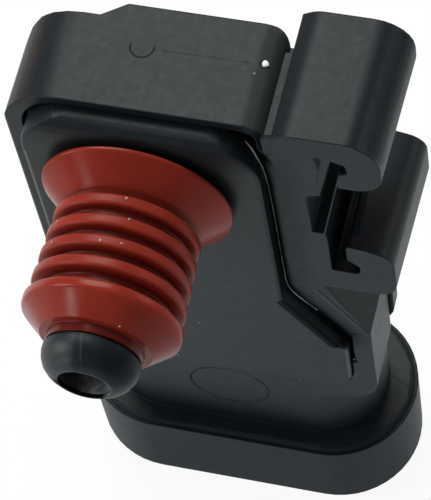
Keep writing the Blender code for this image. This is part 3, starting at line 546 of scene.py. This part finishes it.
# Nozzle: painted light as pale patches in the bore's mouth, painted shade as a dark lip at its lower left, lighter left
# flats, shaded right, faint seam
BORE_MOUTH = 2.38
BORE_LIT_END = -18.8
BORE_LIT_X = (-1.7, 0.3)
BORE_DULL = 0.2
BORE_LIP = (BORE_MOUTH - 0.05, 2.85)
BORE_LIP_Y = (-20.9, -21.05)
BORE_LIP_Z = (0.6, -0.4)
BORE_LIP_X = (1.9, 1.2)
BORE_LIP_SHEEN = 0.05
NOZZLE_TIP = (-17.4, -17.7)
NOZZLE_FLAT_X = (-0.95, -0.55)
NOZZLE_FLAT_SHEEN = 1.9
NOZZLE_SHADE_X = (0.9, 2.8)
NOZZLE_SHADE_Z = (-1.0, 1.2)
NOZZLE_SHADE_SHEEN = 0.5
NOZZLE_SEAM = ((-0.35, -18.0), (0.09, -20.7))
NOZZLE_SEAM_LINE = (0.03, 0.09)
NOZZLE_SEAM_PALE = 0.3


def nozzle_marks(s, colour, sheen):
    """The bore's mouth is painted paler and patchy: painted light inside it."""
    away = s.from_axis()
    mouth = s.ramp(away, BORE_MOUTH - 0.02, BORE_MOUTH + 0.02, 1.0, 0.0)
    inside = s.times(mouth, s.ramp(s.y, BORE_LIT_END - 0.8, BORE_LIT_END, 1.0, 0.0))
    patch = s.times(s.ramp(s.noise(1.3, 3.0, 0.6), 0.38, 0.62, 0.35, 1.0), s.ramp(s.x, *BORE_LIT_X, 0.10, 1.0))
    colour = s.mix(s.times(inside, patch), colour, BORE_PAINTED_LIGHT)
    sheen = s.times(sheen, s.scaled(s.times(inside, s.ramp(s.x, *BORE_LIT_X, 1.0, 0.0)), BORE_DULL))
    shade = s.times(s.ramp(s.x, *NOZZLE_SHADE_X), s.ramp(s.z, *NOZZLE_SHADE_Z))
    flats = s.times(s.ramp(s.x, *NOZZLE_FLAT_X, NOZZLE_FLAT_SHEEN, 1.0), s.scaled(shade, NOZZLE_SHADE_SHEEN))
    sheen = s.mix(s.ramp(s.y, *NOZZLE_TIP), sheen, s.times(sheen, flats))
    seam = s.times(s.stroke(s.x, s.y, *NOZZLE_SEAM, *NOZZLE_SEAM_LINE), s.above(s.z, 2.5))
    colour = s.mix(s.times(seam, NOZZLE_SEAM_PALE), colour, EDGE_PALE)
    # Painted shade: the bore's lower left lip is drawn dark and nearly without sheen
    lip = s.times(
        s.within(away, *BORE_LIP, 0.05), s.ramp(s.y, *BORE_LIP_Y), s.ramp(s.z, *BORE_LIP_Z), s.ramp(s.x, *BORE_LIP_X)
    )
    return s.mix(lip, colour, MARK_AND_SHADE_DARK), s.times(sheen, s.scaled(lip, BORE_LIP_SHEEN))


def cover_marks(s, colour, sheen, normal):
    """Marks on the nozzle, painted shade on the diagonal edge and painted light on its wall, painted highlights on the
    edges, and the dip of the face.
    """
    colour, sheen = nozzle_marks(s, colour, sheen)
    # Painted shade along the cover's diagonal edge
    slant = s.times(s.stroke(s.x, s.z, *COVER_SLANT, *COVER_SLANT_LINE), s.below(s.y, COVER_FACE + 0.3))
    colour = s.mix(s.times(slant, COVER_SLANT_SHADE), colour, MARK_AND_SHADE_DARK)
    sheen = s.times(sheen, s.scaled(slant, COVER_SLANT_SHEEN))
    # Painted light on the wall under the diagonal edge
    wall = s.times(s.stroke(s.x, s.z, *COVER_WALL, *COVER_WALL_LINE), s.within(s.y, *COVER_WALL_Y, 0.2))
    colour = s.mix(wall, colour, WALL_PAINTED_LIGHT)
    # Painted highlights along the cover's edges
    strokes = (s.times(s.stroke(s.x, s.z, *line, half, soft), share) for line, half, soft, share in COVER_EDGE_HIGHLIGHTS)
    colour = s.mix(s.times(s.either(*strokes), s.below(s.y, COVER_FACE + 0.4)), colour, EDGE_PALE)
    rise = s.math("MAXIMUM", s.math("SUBTRACT", s.z, COVER_SAG_START), 0.0)
    depth = s.ramp(s.x, *COVER_SAG_X, -0.5 * COVER_SAG, -COVER_SAG)
    sag = s.times(rise, rise, depth, s.below(s.y, COVER_FACE + 0.05))
    return colour, sheen, s.bump(sag, 1.0, 1.0, normal)


# Painted shade on the seal: the collar, the floor of the grooves and the cone's right side
COLLAR_DARK_Y = (COLLAR_TOP - 0.15, COLLAR_TOP + 0.02)
GROOVE_DARK = 0.72
GROOVE_LOW = 0.2
GROOVE_HIGH = 0.95
CONE_DARK = 0.35
CONE_DARK_X = (1.5, 5.0)
CONE_DARK_HEIGHT = 0.6


def seal_shade(s):
    """How much painted shade the seal takes: fully on the collar, partly in the grooves and on the cone."""
    collar = s.ramp(s.y, *COLLAR_DARK_Y, 1.0, 0.0)
    groove = s.times(
        s.ramp(s.from_axis(), BARREL_RADIUS + GROOVE_LOW, BARREL_RADIUS + GROOVE_HIGH, GROOVE_DARK, 0.0),
        s.within(s.y, RING_TOP - 0.1, CONE_END + 0.1, 0.3),
    )
    cone = s.times(s.ramp(s.x, *CONE_DARK_X), s.ramp(s.y, RING_LOW, RING_LOW - CONE_DARK_HEIGHT), CONE_DARK)
    return s.either(collar, groove, cone)


def silicone_red(name):
    """Brick-red silicone: satin, cloudy, duller on the crests."""
    s = Shader(name)
    colour = s.mix(s.ramp(s.noise(0.16, 3.0, 0.55), 0.3, 0.72), RED_LOW, RED_HIGH)
    colour = s.mix(s.ramp(s.noise(1.8, 4.0, 0.6), 0.45, 0.75, 0.0, 0.35), colour, RED_BLOOM)
    # Painted shade on the seal's collar, grooves and cone
    colour = s.mix(seal_shade(s), colour, RED_PAINTED_SHADE)
    rough = s.ramp(s.noise(0.5, 3.0, 0.6), 0.3, 0.7, *SEAL_ROUGH)
    rough = s.math("ADD", rough, s.times(s.within(s.y, RING_TOP, CONE_END, 0.3), CREST_ROUGHER))
    lean = s.node("ShaderNodeVectorRotate", rotation_type="Y_AXIS")
    s.link(s.node("ShaderNodeNewGeometry").outputs["Normal"], lean.inputs["Vector"])
    angle = s.times(s.ramp(s.y, RING_TOP, CONE_END, *SEAL_LEAN, smooth=False), s.ramp(s.x, *SEAL_LEAN_X))
    s.link(angle, lean.inputs["Angle"])
    s.feed(s.bsdf.inputs["Base Color"], colour)
    s.feed(s.bsdf.inputs["Roughness"], rough)
    s.bsdf.inputs["Specular IOR Level"].default_value = SEAL_GLOSS
    s.link(s.bump(s.noise(2.6, 2.0, 0.5), 0.08, 0.04, lean.outputs[0]), s.bsdf.inputs["Normal"])
    return s.material


def plain_material(name, low, high, roughness, metallic=0.0, scale=0.3):
    """Material clouded between two colours."""
    s = Shader(name)
    colour = s.mix(s.ramp(s.noise(scale, 3.0, 0.6), 0.3, 0.7), (*low, 1.0), (*high, 1.0))
    s.feed(s.bsdf.inputs["Base Color"], colour)
    s.feed(s.bsdf.inputs["Roughness"], s.ramp(s.noise(scale * 2.0), 0.3, 0.7, roughness - 0.05, roughness + 0.08))
    s.bsdf.inputs["Metallic"].default_value = metallic
    s.link(s.bump(s.noise(scale * 8.0), 0.06, 0.03), s.bsdf.inputs["Normal"])
    return s.material


# Edges over this angle, in degrees, stay sharp; points closer than this, in millimetres, are one
SHARP_ANGLE = 32.0
SAME_POINT = 0.002
FLAT_WEIGHT = 80


def smooth_group():
    """Modifier that shades round faces smooth and keeps edges over the sharp angle."""
    tree = bpy.data.node_groups.new("smooth_rounds", "GeometryNodeTree")
    tree.interface.new_socket(name="Geometry", in_out="INPUT", socket_type="NodeSocketGeometry")
    tree.interface.new_socket(name="Geometry", in_out="OUTPUT", socket_type="NodeSocketGeometry")
    first = tree.nodes.new("NodeGroupInput")
    last = tree.nodes.new("NodeGroupOutput")
    merge = tree.nodes.new("GeometryNodeMergeByDistance")
    merge.inputs["Distance"].default_value = SAME_POINT * MM
    tree.links.new(first.outputs[0], merge.inputs["Geometry"])
    here = merge.outputs[0]
    for layer in ("custom_normal", "sharp_face", "sharp_edge"):
        drop = tree.nodes.new("GeometryNodeRemoveAttribute")
        drop.inputs["Name"].default_value = layer
        tree.links.new(here, drop.inputs["Geometry"])
        here = drop.outputs[0]
    soft = tree.nodes.new("GeometryNodeSetShadeSmooth")
    soft.inputs["Shade Smooth"].default_value = True
    tree.links.new(here, soft.inputs["Geometry"])
    angle = tree.nodes.new("GeometryNodeInputMeshEdgeAngle")
    over = tree.nodes.new("FunctionNodeCompare")
    over.data_type = "FLOAT"
    over.operation = "GREATER_THAN"
    over.inputs[1].default_value = math.radians(SHARP_ANGLE)
    tree.links.new(angle.outputs["Unsigned Angle"], over.inputs[0])
    hard = tree.nodes.new("GeometryNodeSetShadeSmooth")
    hard.domain = "EDGE"
    hard.inputs["Shade Smooth"].default_value = False
    tree.links.new(soft.outputs[0], hard.inputs["Geometry"])
    tree.links.new(over.outputs[0], hard.inputs["Selection"])
    tree.links.new(hard.outputs[0], last.inputs[0])
    return tree


SMOOTH = smooth_group()


def smooth(piece):
    """Smooth rounds and evenly shaded flats."""
    modifier = piece.modifiers.new("smooth_rounds", "NODES")
    modifier.node_group = SMOOTH
    weighted = piece.modifiers.new("flat_faces", "WEIGHTED_NORMAL")
    weighted.keep_sharp = True
    weighted.weight = FLAT_WEIGHT


def dress(node, material):
    """Give a solid its material; its mesh stays as it is."""
    piece = nodes[node]
    piece.data.materials.clear()
    piece.data.materials.append(material)
    smooth(piece)


def new_piece(name, mesh, material):
    """Put a finished mesh, in row metres, on the body."""
    mesh.normal_update()
    data = bpy.data.meshes.new(name)
    mesh.to_mesh(data)
    mesh.free()
    data.materials.append(material)
    data.shade_smooth()
    piece = bpy.data.objects.new(name, data)
    bpy.context.scene.collection.objects.link(piece)
    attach(piece, "root")
    return piece


def filleted(corners):
    """Profile through corners (radius, depth, fillet), each turned into an arc of its fillet."""
    points = []
    for i, (a, b, fillet) in enumerate(corners):
        here = Vector((a, b))
        if fillet <= 0.0:
            points.append(here)
            continue
        arriving = Vector(corners[i - 1][:2]) - here
        leaving = Vector(corners[(i + 1) % len(corners)][:2]) - here
        half = arriving.angle(leaving) / 2.0
        reach = min(fillet / math.tan(half), 0.49 * arriving.length, 0.49 * leaving.length)
        radius = reach * math.tan(half)
        arriving.normalize()
        leaving.normalize()
        centre = here + (arriving + leaving).normalized() * (radius / math.sin(half))
        start = here + arriving * reach - centre
        end = here + leaving * reach - centre
        sweep = start.angle_signed(end)
        for k in range(FILLET_STEPS + 1):
            points.append(centre + Matrix.Rotation(-sweep * k / FILLET_STEPS, 2) @ start)
    return points


def turned(name, profile, steps, material):
    """Closed ring turned about the port axis from a profile of (radius, depth)."""
    mesh = bmesh.new()
    rings = []
    for k in range(steps):
        turn = 2.0 * math.pi * k / steps
        rings.append([mesh.verts.new(row(p.x * math.cos(turn), p.y, p.x * math.sin(turn))) for p in profile])
    for k in range(steps):
        here = rings[k]
        after = rings[(k + 1) % steps]
        for i in range(len(profile)):
            j = (i + 1) % len(profile)
            mesh.faces.new((here[i], after[i], after[j], here[j]))
    bmesh.ops.recalc_face_normals(mesh, faces=mesh.faces)
    return new_piece(name, mesh, material)


def seal_profile():
    """Flare, crests, ring and collar, from the body outwards."""
    half = CREST_WIDTH / 2.0
    corners = [
        (SEAL_BORE, SEAL_BACK, 0.1),
        (FLARE_RADIUS - 0.9, SEAL_BACK, 0.5),
        (FLARE_RADIUS, SEAL_BACK - 0.45, 0.12),
        (FLARE_RADIUS, SEAL_BACK - FLARE_RIM, 0.3),
        (CONE_RADIUS, CONE_END, 0.3),
    ]
    for i, radius in enumerate(CREST_RADII):
        middle = CREST_FIRST - i * CREST_PITCH
        corners += [
            (BARREL_RADIUS, middle + half + 0.05, 0.2),
            (radius, middle + half - 0.12, 0.30),
            (radius, middle - half + 0.05, 0.30),
            (BARREL_RADIUS, middle - half - 0.05, 0.2),
        ]
    corners += [
        (BARREL_RADIUS, RING_TOP + 0.08, 0.2),
        (RING_RADIUS, RING_TOP - 0.05, 0.3),
        (RING_RADIUS, RING_LOW, 0.55),
        (COLLAR_EDGE, COLLAR_TOP, 0.12),
        (COLLAR_RADIUS, COLLAR_TOP - 0.05, 0.1),
        (COLLAR_RADIUS - 0.08, SEAL_END, 0.1),
        (SEAL_BORE, SEAL_END, 0.0),
    ]
    return filleted(corners)


def ribbon(name, sections, material):
    """Solid strip through equal cross-sections, each a list of (x, y, z) points in millimetres."""
    mesh = bmesh.new()
    rings = [[mesh.verts.new(row(*p)) for p in section] for section in sections]
    count = len(rings[0])
    for here, after in zip(rings, rings[1:]):
        for i in range(count):
            j = (i + 1) % count
            mesh.faces.new((here[i], after[i], after[j], here[j]))
    mesh.faces.new(rings[0])
    mesh.faces.new(rings[-1])
    bmesh.ops.recalc_face_normals(mesh, faces=mesh.faces)
    return new_piece(name, mesh, material)


def spaced(path, step):
    """Points at even steps along a path."""
    points = [Vector(p) for p in path]
    result = []
    for a, b in zip(points, points[1:]):
        count = max(1, round((b - a).length / step))
        result += [a.lerp(b, k / count) for k in range(count)]
    return result + [points[-1]]


def softened(points, rounds):
    """Path with its corners eased."""
    for _ in range(rounds):
        middle = [(a + 2.0 * b + c) / 4.0 for a, b, c in zip(points, points[1:], points[2:])]
        points = [points[0]] + middle + [points[-1]]
    return points


def outward(points):
    """Unit (x, z) vectors across a path, to its left as it runs down."""
    sides = []
    for i in range(len(points)):
        ahead = points[min(i + 1, len(points) - 1)] - points[max(i - 1, 0)]
        sides.append(Vector((-ahead[1], ahead[0])).normalized())
    return sides


def pocket_edge():
    """Rounded edge of the pocket beside the cover, broader than the solid's own."""
    points = softened(spaced(POCKET_LIP, LIP_STEP), LIP_ROUNDS)
    sections = []
    for point, side in zip(points, outward(points)):
        x, z, lip, width, outer = point
        section = []
        for k in range(EDGE_STEPS + 1):
            turn = math.pi / 2.0 * k / EDGE_STEPS
            out = width * (1.0 - math.cos(turn))
            section.append((x + side.x * out, lip + (outer - lip) * math.sin(turn), z + side.y * out))
        hidden = ((width, outer + EDGE_SUNK), (0.9, lip + 0.5), (0.2, lip + 0.6))
        section += [(x + side.x * out, y, z + side.y * out) for out, y in hidden]
        sections.append(section)
    smooth(ribbon("pocket_edge", sections, black_pocket))


def tube(name, points, radii, material, sides=6):
    """Thin uneven bead along (x, y, z) points in millimetres."""
    sections = []
    for i, (point, radius) in enumerate(zip(points, radii)):
        ahead = (points[min(i + 1, len(points) - 1)] - points[max(i - 1, 0)]).normalized()
        across = ahead.cross(Vector((0.0, 1.0, 0.0))).normalized()
        over = across.cross(ahead)
        turns = [2.0 * math.pi * k / sides for k in range(sides)]
        sections.append([tuple(point + (across * math.cos(t) + over * math.sin(t)) * radius) for t in turns])
    return ribbon(name, sections, material)


def pocket_flash():
    """Thin uneven moulding flash that stands on the pocket's edge; its pale grey is a painted highlight."""
    path = softened(spaced(POCKET_LIP[:FLASH_POINTS], FLASH_STEP), LIP_ROUNDS)
    points = []
    radii = []
    for i, (point, side) in enumerate(zip(path, outward(path))):
        x, z, lip = point[:3]
        wobble = noise.noise(Vector((i * 0.21, 3.0, 0.0)))
        swell = noise.noise(Vector((i * 0.13, 0.0, 7.0)))
        shift = FLASH_SHIFT * wobble
        points.append(Vector((x + side.x * shift, lip - FLASH_PROUD - FLASH_RISE * wobble, z + side.y * shift)))
        low, high = FLASH_THICK_Z
        share = min(max((z - low) / (high - low), 0.0), 1.0)
        radii.append(FLASH_THIN + (FLASH_THICK - FLASH_THIN) * share + FLASH_UNEVEN * swell)
    tube("pocket_flash", points, radii, flash_painted_highlight)


def low_gap_fill():
    """Cured adhesive that closes the lower end of the gap beside the cover."""
    points = [Vector((x, LOW_GAP_Y, z)) for x, z in softened(spaced(LOW_GAP, LOW_GAP_STEP), LIP_ROUNDS)]
    tube("gap_fill", points, [LOW_GAP_RADIUS] * len(points), black_trim, sides=10)


def valley_web():
    """Flat web between the end wall's round and the hook block."""
    section = (
        (VALLEY_LEFT, VALLEY_TOP), (VALLEY_RIGHT, VALLEY_TOP), (VALLEY_RIGHT, VALLEY_LOW), (VALLEY_LEFT, VALLEY_LOW),
    )
    sections = [[(x, y, z) for x, z in section] for y in (VALLEY_FRONT, VALLEY_BACK)]
    ribbon("valley_web", sections, black_trim).data.shade_flat()


def blobs(name, spots, material, seed):
    """Small uneven crumbs: (place, radii) each, in millimetres."""
    mesh = bmesh.new()
    for k, (place, radii) in enumerate(spots):
        made = bmesh.ops.create_icosphere(mesh, subdivisions=2, radius=1.0)["verts"]
        for vert in made:
            swell = 1.0 + BLOB_UNEVEN * noise.noise(vert.co * BLOB_GRAIN + Vector((seed, k * 3.1, 0.0)))
            vert.co = row(*(place[i] + vert.co[i] * radii[i] * swell for i in range(3)))
    return new_piece(name, mesh, material)


black_trim = moulded_black("moulded_black_trim")
black_pocket = moulded_black("moulded_black_pocket", pocket_marks)
black_housing = moulded_black("moulded_black_housing", housing_marks)
black_cover = moulded_black("moulded_black_cover", cover_marks)
black_small = plain_material("component_black", (0.016, 0.017, 0.018), (0.026, 0.027, 0.028), 0.5)
red = silicone_red("silicone_red")
glue = plain_material("adhesive_dark", (0.010, 0.011, 0.012), (0.022, 0.023, 0.025), 0.32)
tin = plain_material("tinned_copper", (0.48, 0.47, 0.45), (0.62, 0.61, 0.58), 0.32, 1.0)
ceramic = plain_material("substrate_ceramic", (0.66, 0.65, 0.61), (0.76, 0.75, 0.71), 0.55)
gel = plain_material("gel_ring_white", (0.72, 0.72, 0.70), (0.80, 0.80, 0.78), 0.4)
silicon = plain_material("silicon_grey", (0.16, 0.17, 0.20), (0.24, 0.25, 0.28), 0.22, 0.4)
tan = plain_material("component_tan", (0.36, 0.25, 0.16), (0.46, 0.33, 0.22), 0.5)
# Flash clouded from black to pale grey; the pale is a painted highlight
flash_painted_highlight = plain_material("flash_painted_highlight", (0.05, 0.055, 0.057), (0.46, 0.48, 0.49), 0.35, scale=0.5)
speck_white = plain_material("speck_white", (0.62, 0.66, 0.65), (0.95, 0.98, 0.97), 0.25, scale=2.0)
dust_pale = plain_material("dust_pale", (0.16, 0.17, 0.165), (0.26, 0.27, 0.265), 0.8, scale=4.0)
dust_pink = plain_material("dust_pink", (0.42, 0.20, 0.16), (0.62, 0.40, 0.34), 0.8, scale=4.0)

dress("housing", black_housing)
dress("port_cover", black_cover)
dress("port_seal", red)
for name in ("cover_adhesive", "substrate_adhesive"):
    dress(name, glue)
for number in (1, 2, 3):
    dress(f"terminal_{number}", tin)
    dress(f"bond_strap_{number}", tin)
    dress(f"capacitor_{number}", tan)
for name in ("signal_chip", "resistor_1", "resistor_2"):
    dress(name, black_small)
dress("circuit_substrate", ceramic)
dress("die_pedestal", gel)
dress("gel_dam", gel)
dress("pressure_die", silicon)

pocket_edge()
pocket_flash()
low_gap_fill()
valley_web()
blobs("end_wall_speck", [(SPECK, SPECK_RADII)], speck_white, 2.0)
blobs("end_wall_grain", [(GRAIN, GRAIN_RADII)], dust_pale, 5.0)
blobs("seal_dust", [(place, (r, r, r)) for place, r in SEAL_DUST], dust_pink, 1.0)
blobs("face_dust", [(place, (r, FACE_DUST_HEIGHT, r)) for place, r in FACE_DUST], dust_pale, 9.0)

seal_fine = turned("seal_fine", seal_profile(), SEAL_STEPS, red)
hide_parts("port_seal")


# Floor, by distance from the middle in millimetres where it is mirrored, and the light round the object
FLOOR_LOW = (0.90, 0.90, 0.90, 1.0)
FLOOR_HIGH = (0.93, 0.93, 0.93, 1.0)
FLOOR_ROUGH = 0.9
FLOOR_WHITE = (1.0, 1.0, 1.0, 1.0)
FLOOR_COOL = (0.86, 0.97, 1.0, 1.0)
FLOOR_SEEN = 0.92
MIRRORED_FROM = (60.0, 300.0)
MIRRORED_SHARE = (0.56, 0.12)
FLOOR_SIZE = 6.0
FLOOR_DROP = 0.0002
SKY_COLOUR = (0.96, 0.98, 1.0, 1.0)
SKY_STRENGTH = 0.30
LAMP_AIM = (2.0, 2.0, -8.0)

# Lamps: name, direction, distance, size, brightness of the face, colour
LAMPS = (
    ("back_window", (-0.26, 0.46, 0.84), 0.8, (0.56, 0.38), 8.3, (0.96, 1.0, 0.95)),
    ("left_wall", (-0.86, -0.28, 0.42), 0.6, (0.26, 0.28), 6.6, (1.0, 1.0, 1.0)),
    ("right_wall", (0.76, 0.53, 0.37), 0.6, (0.28, 0.24), 2.4, (1.0, 1.0, 1.0)),
    ("small_window", (-0.60, -0.79, 0.10), 0.7, (0.085, 0.13), 15.0, (1.0, 1.0, 1.0)),
)
SENSOR_WIDTH = 36.0


def floor():
    """Pale floor; seen directly or in a reflection it is mostly white, so only a faint shadow stays."""
    s = Shader("pale_floor")
    tone = s.mix(s.ramp(s.noise(0.003), 0.3, 0.7), FLOOR_LOW, FLOOR_HIGH)
    s.feed(s.bsdf.inputs["Base Color"], tone)
    s.bsdf.inputs["Roughness"].default_value = FLOOR_ROUGH
    path = s.node("ShaderNodeLightPath")
    away = s.math("SQRT", s.math("ADD", s.times(s.x, s.x), s.times(s.y, s.y)))
    mirrored = s.either(path.outputs["Is Glossy Ray"], path.outputs["Is Transmission Ray"])
    share = s.ramp(away, *MIRRORED_FROM, *MIRRORED_SHARE)
    seen = s.either(s.times(path.outputs["Is Camera Ray"], FLOOR_SEEN), s.times(mirrored, share))
    white = s.node("ShaderNodeEmission")
    s.feed(white.inputs["Color"], s.mix(mirrored, FLOOR_WHITE, FLOOR_COOL))
    white.inputs["Strength"].default_value = 1.0
    blend = s.node("ShaderNodeMixShader")
    s.link(seen, blend.inputs[0])
    s.link(s.bsdf.outputs[0], blend.inputs[1])
    s.link(white.outputs[0], blend.inputs[2])
    s.link(blend.outputs[0], s.out.inputs["Surface"])
    bpy.ops.mesh.primitive_plane_add(size=FLOOR_SIZE, location=(0.0, 0.0, -FLOOR_DROP))
    plane = bpy.context.active_object
    plane.name = "floor"
    plane.data.materials.append(s.material)


def world_light():
    """Even, slightly cool light from all round."""
    world = bpy.data.worlds.new("studio")
    bpy.context.scene.world = world
    world.use_nodes = True
    tree = world.node_tree
    tree.nodes.clear()
    out = tree.nodes.new("ShaderNodeOutputWorld")
    soft = tree.nodes.new("ShaderNodeBackground")
    soft.inputs["Color"].default_value = SKY_COLOUR
    soft.inputs["Strength"].default_value = SKY_STRENGTH
    tree.links.new(soft.outputs[0], out.inputs["Surface"])


def area(name, direction, distance, size, radiance, colour):
    """Soft lamp seen from the object in a direction, with a given brightness of its face."""
    data = bpy.data.lights.new(name, "AREA")
    data.shape = "RECTANGLE"
    data.size = size[0]
    data.size_y = size[1]
    data.energy = radiance * math.pi * size[0] * size[1]
    data.color = colour
    lamp = bpy.data.objects.new(name, data)
    bpy.context.scene.collection.objects.link(lamp)
    aim = row(*LAMP_AIM)
    lamp.location = aim + Vector(direction).normalized() * distance
    lamp.rotation_euler = (aim - lamp.location).to_track_quat("-Z", "Y").to_euler()


def camera():
    """The photo's camera, solved from the picture."""
    a = math.radians(CAMERA_AZIMUTH)
    e = math.radians(CAMERA_ELEVATION)
    r = math.radians(CAMERA_ROLL)
    back = Vector((math.sin(a) * math.cos(e), -math.cos(a) * math.cos(e), math.sin(e)))
    level = Vector((math.cos(a), math.sin(a), 0.0))
    rise = back.cross(level)
    right = math.cos(r) * level + math.sin(r) * rise
    up = -math.sin(r) * level + math.cos(r) * rise
    data = bpy.data.cameras.new("photo_camera")
    data.sensor_width = SENSOR_WIDTH
    data.lens = FOCAL_PX * SENSOR_WIDTH / max(IMAGE_SIZE)
    data.clip_start = 0.01
    data.clip_end = 20.0
    item = bpy.data.objects.new("photo_camera", data)
    bpy.context.scene.collection.objects.link(item)
    turn = Matrix((right, up, back)).transposed().to_4x4()
    item.matrix_world = Matrix.Translation(CAMERA_AT * MM) @ turn
    bpy.context.scene.camera = item


floor()
world_light()
for lamp in LAMPS:
    area(*lamp)
camera()

scene = bpy.context.scene
scene.view_settings.view_transform = "Standard"
